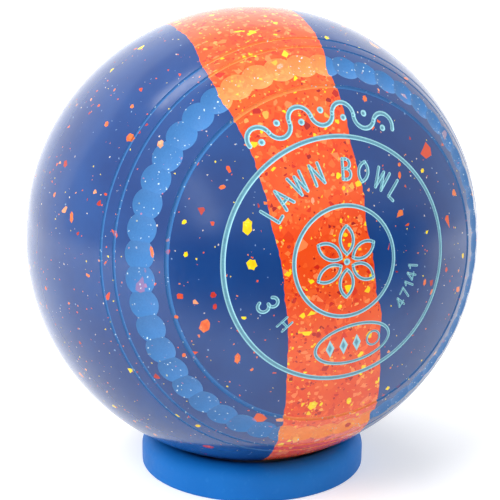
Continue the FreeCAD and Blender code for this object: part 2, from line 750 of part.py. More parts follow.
# ---------------------------------------------------------------- display ring
def make_display_ring():
    """Ring with a flat foot, a rounded shoulder and a seat that follows the bowl."""
    body = doc.addObject("PartDesign::Body", "ring_body")
    body.Label = "display_ring"
    sketch = new_sketch(body, "ring_profile")
    chamfer = SIZES["ring_foot_chamfer"]
    inner = SIZES["ring_inner_radius"]
    outer = SIZES["ring_outer_radius"]
    seat_edge = flat(SEAT_EDGE_RADIUS, seat_height(SEAT_EDGE_RADIUS))
    seat_foot = flat(inner, seat_height(inner))
    wall_top = SIZES["ring_wall_height"]
    climb = seat_edge.y - wall_top
    reach = SIZES["ring_shoulder"]
    shoulder_radius = (reach**2 + climb**2) / (2 * reach)  # the shoulder's arc leaves the wall upright
    shoulder_centre = flat(outer - shoulder_radius, wall_top)
    add_outline(sketch, [
        Part.LineSegment(flat(inner + chamfer, 0), flat(outer - chamfer, 0)),
        Part.LineSegment(flat(outer - chamfer, 0), flat(outer, chamfer)),
        Part.LineSegment(flat(outer, chamfer), flat(outer, wall_top)),
        arc_about(shoulder_centre, flat(outer, wall_top), seat_edge),
        arc_about(flat(0, CENTRE_HEIGHT), seat_edge, seat_foot),
        Part.LineSegment(seat_foot, flat(inner, chamfer)),
        Part.LineSegment(flat(inner, chamfer), flat(inner + chamfer, 0)),
    ])
    bind(sketch, Sketcher.Constraint("Radius", 4, SEAT_RADIUS), "seat_radius")
    bind(sketch, Sketcher.Constraint("DistanceX", -1, 1, 5, 2, inner), "ring_inner_radius")
    turn_profile(body, "PartDesign::Revolution", sketch)
    return body


# ---------------------------------------------------------------- assembly
def gather(name, objects):
    compound = doc.addObject("Part::Compound", name)
    compound.Links = objects
    return compound


def write_pieces(pieces):
    """Checks every object and writes each piece to its own file."""
    for item in doc.Objects:
        if "Invalid" in item.State or "Error" in item.State:
            raise RuntimeError(f"{item.Name} failed: {item.State}")
    for piece in pieces:
        if piece.Shape.isNull() or not piece.Shape.isValid() or not piece.Shape.Solids:
            raise RuntimeError(f"{piece.Label} has no valid shape")
    for piece in pieces:
        print(f"{piece.Label}: {len(piece.Shape.Solids)} solids, {piece.Shape.Volume:.2f} mm3")
        piece.Shape.exportStep(f"parts/{piece.Label}.step")


def main():
    blank = make_blank()
    marks = make_marks(make_face_balls())
    pockets = gather("engraving", [pocket for _, pocket in marks])
    chip_sets = [
        make_chips("yellow_chips", YELLOW_CHIPS, 20, blank, pockets),
        make_chips("orange_chips", ORANGE_CHIPS, 115, blank, pockets),
        make_chips("red_chips", RED_CHIPS, 205, blank, pockets),
        make_chips("peach_chips", PEACH_CHIPS, 300, blank, pockets),
    ]
    holders = [holder for _, holder in chip_sets]
    tools = gather("section_tools", [pockets] + holders)
    pieces = make_sections(blank, tools)
    pieces += [paint for paint, _ in marks]
    pieces += [chips for chips, _ in chip_sets]
    pieces.append(make_display_ring())
    doc.recompute()
    write_pieces(pieces)


main()
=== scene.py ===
"""Speckled lawn bowl on its display ring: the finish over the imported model.

The bowl is worked out in millimetres about its own axis, local +Z towards the ringed face and local
+Y towards its top, and each finished mesh is then moved to where the CAD holds that piece.
"""
import math
import random

import bmesh
import bpy
import numpy as np
from mathutils import Matrix, Vector


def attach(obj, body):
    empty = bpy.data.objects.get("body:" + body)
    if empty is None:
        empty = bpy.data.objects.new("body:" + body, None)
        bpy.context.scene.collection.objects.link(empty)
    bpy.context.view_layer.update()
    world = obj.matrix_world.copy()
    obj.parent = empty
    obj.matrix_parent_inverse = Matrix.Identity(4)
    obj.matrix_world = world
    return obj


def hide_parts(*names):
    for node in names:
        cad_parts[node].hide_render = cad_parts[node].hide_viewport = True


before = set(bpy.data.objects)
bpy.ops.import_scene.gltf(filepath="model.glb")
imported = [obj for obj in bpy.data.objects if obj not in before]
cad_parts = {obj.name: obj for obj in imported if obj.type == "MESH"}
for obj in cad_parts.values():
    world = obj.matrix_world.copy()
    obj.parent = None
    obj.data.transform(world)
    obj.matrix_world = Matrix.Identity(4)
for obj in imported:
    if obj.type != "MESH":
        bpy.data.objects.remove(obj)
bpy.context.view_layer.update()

scene = bpy.context.scene
MM = 0.001

# ---- sizes of the bowl, mm
RUNNING_RADIUS = 61.0
FLANK_OFFSET = {1: 5.2, -1: 4.6}  # front and bias side: how far out the flank's arc is centred
FACE_EDGE_RADIUS = 38.9
FACE_RISE = 9.93
FACE_TILT = math.radians(3.0)
CENTRE_HEIGHT = 63.88
GROOVES = [(50.45, 0.8), (48.25, 0.8), (FACE_EDGE_RADIUS, 1.1)]  # radius and width of each turned groove
FRONT_RINGS = [(27.7, 1.2), (12.5, 1.0)]
BACK_RINGS = [(20.0, 1.2)]
SCOOP_COUNT = 49
SCOOP_CIRCLE_RADIUS = 43.8
SCOOP_LENGTH = 7.7
SCOOP_DEPTH = 1.0
STROKE = 0.8
ORNAMENT = 1.1
FINE = 0.56
CHIP_DEPTH = 1.2
PROFILE_STEPS = {"dome": 38, "flank": 48}  # points along each arc of the half profile
COARSE_RADIUS = 9  # inside it the mesh has a quarter of the vertices around
FRONT, BACK = 1, -1

BAND_LEFT_EDGE = [(-24.0, 66), (-25.0, 42), (-19.1, 20), (-15.6, 0), (-13.2, -20), (-10.8, -40), (-6.0, -66)]
BAND_RIGHT_EDGE = [(6.6, 66), (2.6, 42), (4.4, 20), (6.8, 0), (10.5, -20), (14.2, -40), (18.8, -66)]

STAND_UP = Matrix.Translation((0, 0, CENTRE_HEIGHT * MM)) @ Matrix.Rotation(math.pi / 2 - FACE_TILT, 4, "X")
STAND_UP = STAND_UP @ Matrix.Scale(MM, 4)


# ---- the bowl's surface
def flank_radius(side):
    return RUNNING_RADIUS - FLANK_OFFSET[side]


def flank_height(radius, side):
    return math.sqrt(flank_radius(side) ** 2 - (radius - FLANK_OFFSET[side]) ** 2)


POLE_HEIGHT = flank_height(FACE_EDGE_RADIUS, FRONT) + FACE_RISE


def dome_radius(side):
    rise = POLE_HEIGHT - flank_height(FACE_EDGE_RADIUS, side)
    return (FACE_EDGE_RADIUS**2 + rise**2) / (2 * rise)


def dome_height(radius, side):
    ball = dome_radius(side)
    return POLE_HEIGHT - ball + math.sqrt(ball**2 - radius**2)


def height(radius, side):
    """Height above the middle plane, on that side, of the surface before it is grooved."""
    return dome_height(radius, side) if radius < FACE_EDGE_RADIUS else flank_height(radius, side)


def normals_and_depths(points):
    """For each row of an array of points, the nearby surface's outward normal and the depth below it."""
    radius = np.hypot(points[:, 0], points[:, 1])
    side = np.where(points[:, 2] >= 0, 1.0, -1.0)
    offset = np.where(side > 0, FLANK_OFFSET[FRONT], FLANK_OFFSET[BACK])
    arc = RUNNING_RADIUS - offset
    ball = np.where(side > 0, dome_radius(FRONT), dome_radius(BACK))
    sideways = points[:, :2] / np.maximum(radius, 1e-9)[:, None]
    flank_centre = np.column_stack([sideways * offset[:, None], np.zeros(len(points))])
    dome_centre = np.column_stack([np.zeros((len(points), 2)), side * (POLE_HEIGHT - ball)])
    on_dome = radius < FACE_EDGE_RADIUS
    centre = np.where(on_dome[:, None], dome_centre, flank_centre)
    reach = np.where(on_dome, ball, arc)
    away = points - centre
    length = np.linalg.norm(away, axis=1)
    return away / length[:, None], reach - length


def around(radius, angle, centre=(0.0, 0.0)):
    """The point of a circle at this angle, in radians."""
    return (centre[0] + radius * math.cos(angle), centre[1] + radius * math.sin(angle))


# ---- mesh helpers
def new_object(name, vertices, faces):
    mesh = bpy.data.meshes.new(name)
    mesh.from_pydata([tuple(v) for v in vertices], [], faces)
    mesh.update()
    obj = bpy.data.objects.new(name, mesh)
    scene.collection.objects.link(obj)
    return obj


def boolean(obj, operation, cutter, keep_cutter=False):
    """Applies one exact operation between closed meshes."""
    modifier = obj.modifiers.new("cut", "BOOLEAN")
    modifier.operation = operation
    modifier.solver = "MANIFOLD"
    modifier.object = cutter
    evaluated = obj.evaluated_get(bpy.context.evaluated_depsgraph_get())
    mesh = bpy.data.meshes.new_from_object(evaluated)
    mesh.materials.clear()
    obj.modifiers.clear()
    old, obj.data = obj.data, mesh
    bpy.data.meshes.remove(old)
    if not keep_cutter:
        bpy.data.objects.remove(cutter)
    return obj


def copy_of(obj, name):
    copy = bpy.data.objects.new(name, obj.data.copy())
    scene.collection.objects.link(copy)
    return copy


def outward(solid):
    """The same solid with its faces turned out, judged by the sign of its volume."""
    vertices, faces = solid
    points = np.array([tuple(v) for v in vertices])
    corners = np.array([(f[0], a, b) for f in faces for a, b in zip(f[1:], f[2:])])
    a, b, c = points[corners[:, 0]], points[corners[:, 1]], points[corners[:, 2]]
    volume = np.einsum("ij,ij->", a, np.cross(b, c))
    return vertices, faces if volume > 0 else [face[::-1] for face in faces]


def together(name, solids):
    """One object of solids that don't touch, each given as (vertices, faces)."""
    vertices, faces = [], []
    for some_vertices, some_faces in map(outward, solids):
        first = len(vertices)
        vertices += list(some_vertices)
        faces += [[first + i for i in face] for face in some_faces]
    return new_object(name, vertices, faces)


def pairs(loop):
    """Each item of a closed loop with the one after it."""
    return list(zip(loop, loop[1:] + loop[:1]))


def strip(a, b, count):
    """Faces between two closed loops of this many vertices, given by their first indices."""
    return [[a + k, a + (k + 1) % count, b + (k + 1) % count, b + k] for k in range(count)]


def square_grid(count):
    """Faces of a grid whose vertices are listed in rows of this many."""
    return [[i * count + j, (i + 1) * count + j, (i + 1) * count + j + 1, i * count + j + 1]
            for i in range(count - 1) for j in range(count - 1)]


def wall(top, bottom, count):
    """Faces that join the outer loop of a lid to that of a floor."""
    return [[top + (j + 1) % count, top + j, bottom + j, bottom + (j + 1) % count] for j in range(count)]


def read(items, field, width=3, kind=np.float64):
    """One field of all vertices, corners or faces of a mesh as an array, a row for each."""
    values = np.empty(len(items) * width, dtype=kind)
    items.foreach_get(field, values)
    return values.reshape(-1, width) if width > 1 else values


def boxes_meet(a, b, margin=0.05):
    a, b = np.asarray(a[0]), np.asarray(b[0])
    return bool(np.all(a.min(0) - margin < b.max(0)) and np.all(b.min(0) - margin < a.max(0)))


def batches(solids):
    """Lists of solids whose boxes don't meet, so that each list is one valid mesh."""
    groups = []
    for solid in solids:
        for group in groups:
            if not any(boxes_meet(solid, other) for other in group):
                group.append(solid)
                break
        else:
            groups.append([solid])
    return groups


# ---- the turned blank
def half_profile(side, rings):
    """Points (radius, height) from the pole to the middle plane, with round-bottomed grooves cut in."""
    dome_steps = np.linspace(0, FACE_EDGE_RADIUS, PROFILE_STEPS["dome"])[:-1]
    points = [(r, dome_height(r, side)) for r in dome_steps]
    low = math.asin(flank_height(FACE_EDGE_RADIUS, side) / flank_radius(side))
    for angle in np.linspace(low, 0, PROFILE_STEPS["flank"]):
        points.append(around(flank_radius(side), angle, (FLANK_OFFSET[side], 0)))
    for radius, width in sorted(GROOVES + rings):
        points = cut_groove(points, radius, height(radius, side), width / 2)
    return [(r, side * h) for r, h in points]


def crossing(inside, outside, centre, size):
    """Where the line between two points crosses a circle."""
    for _ in range(40):
        middle = (inside + outside) / 2
        if np.linalg.norm(middle - centre) < size:
            inside = middle
        else:
            outside = middle
    return outside


def cut_groove(points, radius, up, size):
    centre = np.array([radius, up])
    rows = [np.array(p) for p in points]
    near = [np.linalg.norm(p - centre) < size for p in rows]
    before = max(i for i, p in enumerate(rows) if p[0] < radius and not near[i])
    after = min(i for i, p in enumerate(rows) if p[0] > radius and not near[i])
    start = crossing(centre, rows[before], centre, size)
    end = crossing(centre, rows[after], centre, size)
    first = math.atan2(*(start - centre)[::-1])
    last = math.atan2(*(end - centre)[::-1])
    if first < 0:
        first += 2 * math.pi
    if last < first:
        last += 2 * math.pi
    floor = [around(size, a, centre) for a in np.linspace(first, last, 10)]
    return [tuple(p) for p in rows[: before + 1] + floor + rows[after:]]


def turned_blank():
    """The whole bowl as one closed mesh: rings of vertices, with fewer of them near the poles."""
    front = half_profile(FRONT, FRONT_RINGS)
    back = half_profile(BACK, BACK_RINGS)
    profile = front + back[::-1][1:]
    full = SCOOP_COUNT * 8
    vertices, faces, rings = [], [], []
    for radius, up in profile:
        if radius < 1e-6:
            rings.append([len(vertices)])
            vertices.append((0, 0, up))
            continue
        count = full // 4 if radius < COARSE_RADIUS else full
        rings.append(list(range(len(vertices), len(vertices) + count)))
        turn = 2 * math.pi / count
        vertices += [(*around(radius, i * turn), up) for i in range(count)]
    for a, b in zip(rings, rings[1:]):
        few, many = (a, b) if len(a) < len(b) else (b, a)
        if len(few) == 1:
            faces += [[few[0], here, after] for here, after in pairs(many)]
        elif len(a) == len(b):
            faces += [[a0, b0, b1, a1] for (a0, a1), (b0, b1) in zip(pairs(a), pairs(b))]
        else:
            for i, (near, far) in enumerate(pairs(few)):
                edge = (many + many[:1])[4 * i:4 * i + 5]
                faces += [[near, edge[0], edge[1]], [near, edge[1], edge[2]], [near, edge[2], far]]
                faces += [[far, edge[2], edge[3]], [far, edge[3], edge[4]]]
    blank = new_object("blank", vertices, faces)
    face_outward(blank)
    return blank


def face_outward(obj):
    mesh = bmesh.new()
    mesh.from_mesh(obj.data)
    bmesh.ops.recalc_face_normals(mesh, faces=mesh.faces)
    mesh.to_mesh(obj.data)
    mesh.free()


# ---- grip scoops
def scoop_cap(side, index):
    """Bowl-shaped cap of the ball that cuts one scoop, closed by a lid above the surface."""
    half = SCOOP_LENGTH / 2
    ball = (half**2 + SCOOP_DEPTH**2) / (2 * SCOOP_DEPTH)
    lean = math.acos((SCOOP_CIRCLE_RADIUS - FLANK_OFFSET[side]) / flank_radius(side))
    distance = flank_radius(side) + ball - SCOOP_DEPTH
    swing = Matrix.Rotation(2 * math.pi * index / SCOOP_COUNT, 3, "Z")
    outward = Vector((math.cos(lean), 0, side * math.sin(lean)))
    centre = Vector((FLANK_OFFSET[side], 0, 0)) + distance * outward
    turn = swing @ outward.to_track_quat("Z", "Y").to_matrix()
    centre = swing @ centre
    segments, steps, open_angle = 56, 14, math.radians(46)
    vertices = [centre + turn @ Vector((0, 0, -ball))]
    for k in range(1, steps + 1):
        polar = open_angle * k / steps
        for i in range(segments):
            spot = around(ball * math.sin(polar), 2 * math.pi * i / segments)
            vertices.append(centre + turn @ Vector((*spot, -ball * math.cos(polar))))
    faces = [[0, 1 + (i + 1) % segments, 1 + i] for i in range(segments)]
    for k in range(steps - 1):
        faces += strip(1 + k * segments, 1 + (k + 1) * segments, segments)
    top = 1 + (steps - 1) * segments
    faces.append([top + i for i in range(segments)])
    return vertices, faces


def cut_scoops(blank):
    """Neighbouring balls overlap, so they are cut in three rounds of balls that don't."""
    last = SCOOP_COUNT - 1
    for indices in (range(0, last, 2), range(1, last, 2), [last]):
        caps = [scoop_cap(side, index) for side in (FRONT, BACK) for index in indices]
        boolean(blank, "DIFFERENCE", together("scoops", caps))


# ---- engraved strokes
PITCH = 0.3  # between points along a stroke, mm


def line(start, end):
    start, end = np.array(start, float), np.array(end, float)
    count = max(2, int(np.linalg.norm(end - start) / PITCH) + 1)
    return [start + (end - start) * k / (count - 1) for k in range(count)]


def arc(start, through, end):
    """Points on the circle through three points."""
    (ax, ay), (bx, by), (cx, cy) = start, through, end
    d = 2 * (ax * (by - cy) + bx * (cy - ay) + cx * (ay - by))
    a2, b2, c2 = ax * ax + ay * ay, bx * bx + by * by, cx * cx + cy * cy
    ux = (a2 * (by - cy) + b2 * (cy - ay) + c2 * (ay - by)) / d
    uy = (a2 * (cx - bx) + b2 * (ax - cx) + c2 * (bx - ax)) / d
    radius = math.hypot(ax - ux, ay - uy)
    first = math.atan2(ay - uy, ax - ux)
    middle = math.atan2(by - uy, bx - ux)
    last = math.atan2(cy - uy, cx - ux)
    sweep = (last - first) % (2 * math.pi)
    if (middle - first) % (2 * math.pi) > sweep:
        sweep -= 2 * math.pi
    count = max(4, int(abs(sweep) * radius / PITCH) + 1)
    angles = [first + sweep * k / (count - 1) for k in range(count)]
    return [np.array(around(radius, t, (ux, uy))) for t in angles]


def circle(centre, radius):
    count = max(24, int(2 * math.pi * radius / PITCH))
    return [np.array(around(radius, 2 * math.pi * k / count, centre)) for k in range(count)]


class Stroke:
    """A path on the face, with its width. A closed path has no ends. A filled one is a flat area."""

    def __init__(self, path, width, closed=False, filled=False):
        self.path = [np.array(p, float) for p in path]
        self.width = width
        self.closed = closed
        self.filled = filled

    def moved(self, x, y, turn):
        c, s = math.cos(math.radians(turn)), math.sin(math.radians(turn))
        path = [np.array([x + c * p[0] - s * p[1], y + s * p[0] + c * p[1]]) for p in self.path]
        return Stroke(path, self.width, self.closed, self.filled)


def run(width, *points):
    """One stroke for each line or arc. A pair of points after the first stands for an arc."""
    strokes, here = [], points[0]
    for step in points[1:]:
        if isinstance(step[0], tuple):
            strokes.append(Stroke(arc(here, step[0], step[1]), width))
            here = step[1]
        else:
            strokes.append(Stroke(line(here, step), width))
            here = step
    return strokes


# Width of each letter and its strokes, for a letter 1 high. A pair within a stroke is an arc.
GLYPHS = {
    "A": (0.54, [[(0, 0), (0.27, 1), (0.54, 0)], [(0.1, 0.35), (0.44, 0.35)]]),
    "B": (0.44, [[(0.2, 0.53), (0, 0.53)], [(0, 0), (0, 1)],
                 [(0, 1), (0.2, 1), ((0.4, 0.765), (0.2, 0.53))],
                 [(0, 0), (0.2, 0), ((0.44, 0.265), (0.2, 0.53))]]),
    "H": (0.60, [[(0, 0), (0, 1)], [(0.6, 0), (0.6, 1)], [(0, 0.5), (0.6, 0.5)]]),
    "L": (0.36, [[(0, 1), (0, 0), (0.36, 0)]]),
    "N": (0.46, [[(0, 0), (0, 1), (0.46, 0), (0.46, 1)]]),
    "O": (0.54, [[(0.27, 1), ((0, 0.5), (0.27, 0)), ((0.54, 0.5), (0.27, 1))]]),
    "W": (0.72, [[(0, 1), (0.18, 0), (0.36, 0.9), (0.54, 0), (0.72, 1)]]),
    "1": (0.25, [[(0, 0.78), (0.25, 1), (0.25, 0)]]),
    "3": (0.56, [[(0.02, 0.86), ((0.52, 0.77), (0.25, 0.53))],
                 [(0.25, 0.53), ((0.56, 0.26), (0, 0.14))]]),
    "4": (0.62, [[(0.46, 0), (0.46, 1), (0, 0.3)], [(0, 0.3), (0.62, 0.3)]]),
    "7": (0.58, [[(0, 1), (0.58, 1), (0.2, 0)]]),
}
LETTER_GAP, DIGIT_GAP, SPACE_WIDTH = 0.36, 0.42, 0.3


def scaled(points, size):
    return tuple(scaled(p, size) if isinstance(p, tuple) else p * size for p in points)


def glyph(letter, size, width):
    return [stroke for points in GLYPHS[letter][1] for stroke in run(width, *scaled(points, size))]


def word_on_arc(text, radius, size, middle_angle, width, outward=True):
    """Letters on an arc about the centre, tops outward or, for a word read from below, inward."""
    gap = DIGIT_GAP if text.isdigit() else LETTER_GAP
    widths = [SPACE_WIDTH if letter == " " else GLYPHS[letter][0] for letter in text]
    along = -(sum(widths) + gap * (len(text) - 1)) / 2
    sign = 1 if outward else -1
    strokes = []
    for letter, letter_width in zip(text, widths):
        if letter != " ":
            angle = math.radians(middle_angle) - sign * (along + letter_width / 2) * size / radius
            turn = angle - sign * math.pi / 2
            back = letter_width * size / 2
            x, y = around(-back, turn, around(radius, angle))
            strokes += [s.moved(x, y, math.degrees(turn)) for s in glyph(letter, size, width)]
        along += letter_width + gap
    return strokes


def polar(radius, degrees):
    return around(radius, math.radians(degrees))


def disc(centre, radius):
    """A filled round spot: a very short stroke as wide as the spot."""
    x, y = centre
    return Stroke([(x - 0.01, y), (x + 0.01, y)], 2 * radius)


def rosette(petals, radius, width):
    """A small disc with petals round it."""
    start = 0.22 * radius
    middle = (start + radius) / 2
    bulge = middle * math.sin(math.pi / petals) - width
    strokes = [disc((0, 0), 0.1 * radius)]
    for i in range(petals):
        petal = run(width, (start, 0), ((middle, bulge), (radius, 0)), ((middle, -bulge), (start, 0)))
        strokes += [s.moved(0, 0, 90 + 360 * i / petals) for s in petal]
    return strokes


def wave(radius, swing, first_angle, last_angle, halves, width):
    """A wave of half turns along an arc, with a dot in each hollow."""
    step = (last_angle - first_angle) / halves
    points, dots = [polar(radius, first_angle)], []
    for i in range(halves):
        side = 1 if i % 2 == 0 else -1
        middle = first_angle + (i + 0.5) * step
        points.append((polar(radius + side * swing, middle), polar(radius, first_angle + (i + 1) * step)))
        dots.append(disc(polar(radius - 0.35 * side * swing, middle), width * 0.7))
    return dots + run(width, *points)


def oval(length, tall, width):
    a, b = length / 2 - width / 2, tall / 2 - width / 2
    count = int(2 * math.pi * a / PITCH)
    angles = [2 * math.pi * k / count for k in range(count)]
    return Stroke([(a * math.cos(t), b * math.sin(t)) for t in angles], width, closed=True)


def lozenge(x, half_width, half_height):
    corners = [(x - half_width, 0), (x, -half_height), (x + half_width, 0), (x, half_height)]
    return Stroke(corners, 0, filled=True)


# ---- solids that follow the face
ENGRAVING_DEPTH = 0.45
LID = 0.3  # how far a cutter stands above the face
EDGE_SINK = 0.05  # depth of the paint at the edge of a stroke
MIDDLE_SINK = 0.17  # and in its middle


def on_face(point, side, depth):
    """This point of a drawing at this depth under the face. The bias side is drawn as seen from behind."""
    x, y = point
    ball = dome_radius(side)
    centre = np.array([0, 0, POLE_HEIGHT - ball])
    surface = np.array([x, y, dome_height(math.hypot(x, y), side)])
    normal = (surface - centre) / ball
    place = surface - depth * normal
    return place if side == FRONT else np.array([-place[0], place[1], -place[2]])


def floor_depth(share, width):
    """Depth of the groove's round bottom, at this share of the way from its middle to its edge."""
    deep = min(ENGRAVING_DEPTH, width / 2)
    return deep * math.sqrt(max(0.0, 1 - share**2))


def cutter_level(_share):
    return -LID


def paint_level(share):
    return MIDDLE_SINK + (EDGE_SINK - MIDDLE_SINK) * share**3


def side_dirs(path, closed):
    """Unit vectors to the left of the path at each point."""
    count = len(path)
    dirs = []
    for i in range(count):
        if closed:
            along = path[(i + 1) % count] - path[i - 1]
        else:
            along = path[min(i + 1, count - 1)] - path[max(i - 1, 0)]
        along = along / np.linalg.norm(along)
        dirs.append(np.array([-along[1], along[0]]))
    return dirs


SHARES = [1.0, 0.93, 0.8, 0.6, 0.35]  # where a stroke's section has points, from its edge to its middle
FILLED_SHARES = [1.0, 0.85, 0.6, 0.3]
END_STEPS = 8  # around each round end of a stroke


def two_skins(loop_at, shares, middle, middle_of, side, level, floor):
    """Solid between a level surface and a floor. Each has a loop of points at each share of the way out and
    then its middle points. The list middle_of tells which of these each point of a loop leads to."""
    n = len(middle_of)
    vertices, faces, rims = [], [], []
    for depth_at, order in ((level, 1), (floor, -1)):
        rim = len(vertices)
        rims.append(rim)
        for share in shares:
            vertices += [on_face(p, side, depth_at(share)) for p in loop_at(share)]
        inner = len(vertices)
        vertices += [on_face(p, side, depth_at(0)) for p in middle]
        skin = []
        for k in range(len(shares) - 1):
            skin += strip(rim + k * n, rim + (k + 1) * n, n)
        for j, (here, after) in enumerate(pairs(middle_of)):
            ends = [inner + after] if here == after else [inner + after, inner + here]
            skin.append([inner - n + j, inner - n + (j + 1) % n] + ends)
        faces += [face[::order] for face in skin]
    return vertices, faces + wall(*rims, n)


def open_solid(stroke, side, level):
    """Round-ended solid along an open stroke, with a round floor."""
    path, half = stroke.path, stroke.width / 2
    dirs = side_dirs(path, False)

    def round_end(index, start):
        first = math.atan2(start[1], start[0])
        angles = [first - math.pi * k / END_STEPS for k in range(1, END_STEPS)]
        return [(index, np.array(around(1, a))) for a in angles]

    bases = [(i, dirs[i]) for i in range(len(path))] + round_end(len(path) - 1, dirs[-1])
    bases += [(i, -dirs[i]) for i in reversed(range(len(path)))] + round_end(0, -dirs[0])
    return two_skins(lambda share: [path[i] + out * half * share for i, out in bases], SHARES,
                     path, [i for i, _ in bases], side, level, lambda share: floor_depth(share, stroke.width))


def closed_solid(stroke, side, level):
    """The same for a path that closes on itself."""
    path, half = stroke.path, stroke.width / 2
    shares = SHARES + [0.0] + [-share for share in reversed(SHARES)]
    section = [(share, level(abs(share))) for share in shares]
    section += [(share, floor_depth(abs(share), stroke.width)) for share in reversed(shares)]
    n, m = len(path), len(section)
    vertices, faces = [], []
    for i, out in enumerate(side_dirs(path, True)):
        vertices += [on_face(path[i] + out * half * share, side, depth) for share, depth in section]
        faces += strip(i * m, (i + 1) % n * m, m)
    return vertices, faces


def filled_solid(stroke, side, level):
    """Flat-bottomed solid inside an outline, built of rings drawn in to its middle."""
    middle = sum(stroke.path) / len(stroke.path)
    outline = [point for a, b in pairs(stroke.path) for point in line(a, b)[:-1]]
    return two_skins(lambda share: [middle + (p - middle) * share for p in outline], FILLED_SHARES,
                     [middle], [0] * len(outline), side, level, lambda share: ENGRAVING_DEPTH)


def solid_of(stroke, side, level):
    if stroke.filled:
        return filled_solid(stroke, side, level)
    if stroke.closed:
        return closed_solid(stroke, side, level)
    return open_solid(stroke, side, level)


# ---- every mark: node, side, strokes
STAMP_LENGTH, STAMP_HEIGHT, STAMP_TURN = 20.0, 10.0, 8
STAMP_AT = polar(19.6, 278.8)
STAMP_INNER = [Stroke(circle((5.2, 0), 1.7), FINE, closed=True)]
STAMP_INNER += [lozenge(STAMP_LENGTH * place, 1.1, 2.2) for place in (-0.3, -0.13, 0.04)]
WAVE_SWING = 2.5
SIZE_MARK = word_on_arc("3", 22.2, 4.2, 205.3, STROKE, outward=False)
SIZE_MARK += word_on_arc("H", 21.0, 2.94, 223, FINE, outward=False)
MARKS = [
    ("emblem_paint", FRONT, rosette(6, 8.0, STROKE)),
    ("wave_ornament_paint", FRONT, wave(32.8, WAVE_SWING, 62, 128, 7, ORNAMENT)),
    ("arc_lettering_paint", FRONT, word_on_arc("LAWN BOWL", 18.2, 4.5, 97, STROKE)),
    ("size_mark_paint", FRONT, SIZE_MARK),
    ("serial_mark_paint", FRONT, word_on_arc("47141", 19.9, 2.7, 337, FINE, outward=False)),
    ("stamp_border_paint", FRONT, [oval(STAMP_LENGTH, STAMP_HEIGHT, STROKE).moved(*STAMP_AT, STAMP_TURN)]),
    ("stamp_ornament_paint", FRONT, [s.moved(*STAMP_AT, STAMP_TURN) for s in STAMP_INNER]),
    ("back_emblem_paint", BACK, rosette(8, 12.0, STROKE)),
    ("back_ornament_paint", BACK, wave(28.2, WAVE_SWING, 35, 145, 11, ORNAMENT)),
]
RING_PAINTS = [
    ("large_ring_paint", FRONT, FRONT_RINGS[0]),
    ("small_ring_paint", FRONT, FRONT_RINGS[1]),
    ("back_ring_paint", BACK, BACK_RINGS[0]),
]


def cut_marks(blank):
    solids = [solid_of(s, side, cutter_level) for _, side, strokes in MARKS for s in strokes]
    for group in batches(solids):
        boolean(blank, "DIFFERENCE", together("mark_cutter", group))


def paint_pieces():
    pieces = []
    for name, side, strokes in MARKS:
        groups = batches([solid_of(s, side, paint_level) for s in strokes])
        paint = together(name, groups[0])
        for group in groups[1:]:
            boolean(paint, "UNION", together("more", group))
        pieces.append(paint)
    for name, side, (radius, width) in RING_PAINTS:
        ring = Stroke(circle((0, 0), radius), width, closed=True)
        pieces.append(together(name, [closed_solid(ring, side, paint_level)]))
    return pieces


# ---- large inlaid chips
YELLOW_CHIPS = [
    (-22.3, 8.8, 4.0, 2.3, 80), (-21.7, 0.5, 3.0, 2.2, 100), (-35.0, 10.0, 1.4, 1.0, 30),
    (-35.0, 3.0, 1.3, 1.0, 60), (-29.0, -40.0, 1.6, 1.2, 10), (22.9, 19.2, 1.5, 1.1, 40),
    (36.8, -2.3, 1.5, 1.2, 90), (-4.8, -34.6, 3.0, 2.5, 70), (4.8, -34.8, 2.5, 1.5, 95),
    (-1.5, -10.2, 1.3, 1.0, 20), (0.0, 16.3, 1.1, 0.9, 50), (-12.2, 51.5, 1.6, 1.2, 15),
]
ORANGE_CHIPS = [
    (-31.2, -13.0, 3.6, 2.6, 70), (-24.0, -21.0, 3.0, 1.5, 85), (-26.9, 17.3, 1.6, 1.0, 0),
    (-41.5, 3.5, 2.8, 1.1, 95), (-42.6, 28.0, 2.2, 2.0, 30), (-46.0, 31.0, 1.6, 1.4, 60),
    (-54.8, 10.0, 2.8, 1.3, 85), (15.5, 18.5, 1.9, 0.9, 75), (15.8, 20.9, 1.1, 1.0, 10),
    (22.4, -7.0, 1.9, 1.0, 80), (9.3, 36.0, 1.9, 1.4, 60), (27.0, 41.0, 2.5, 1.1, 5),
    (-37.0, -11.0, 1.2, 1.0, 20), (-35.0, -20.0, 1.2, 1.0, 50),
]
RED_CHIPS = [
    (-29.7, -6.0, 1.5, 1.4, 0), (-29.3, -8.6, 1.5, 1.0, 80), (-24.2, -48.0, 3.4, 2.4, 20),
    (-12.5, -8.0, 1.4, 1.1, 40), (-13.6, 4.1, 1.1, 0.9, 10), (8.6, -44.0, 2.0, 1.4, 60),
]
PEACH_CHIPS = [
    (-37.5, 26.7, 2.0, 1.6, 70), (-9.0, 44.0, 1.8, 1.2, 20), (-7.7, 13.9, 1.4, 0.8, 80),
    (1.0, -47.0, 1.7, 1.3, 45), (31.0, -27.0, 1.6, 1.1, 30), (45.0, 12.0, 1.7, 1.2, 75),
]
CHIP_SETS = [
    ("yellow_chips", YELLOW_CHIPS, 20),
    ("orange_chips", ORANGE_CHIPS, 115),
    ("red_chips", RED_CHIPS, 205),
    ("peach_chips", PEACH_CHIPS, 300),
]
BACK_CHIPS_EACH = 9
GOLDEN_ANGLE = 137.508  # spreads the chips of the bias side, degrees
CHIP_CORNERS = [
    (0.50, 0.06), (0.22, 0.50), (-0.28, 0.40), (-0.50, -0.12), (-0.16, -0.50), (0.30, -0.38),
]


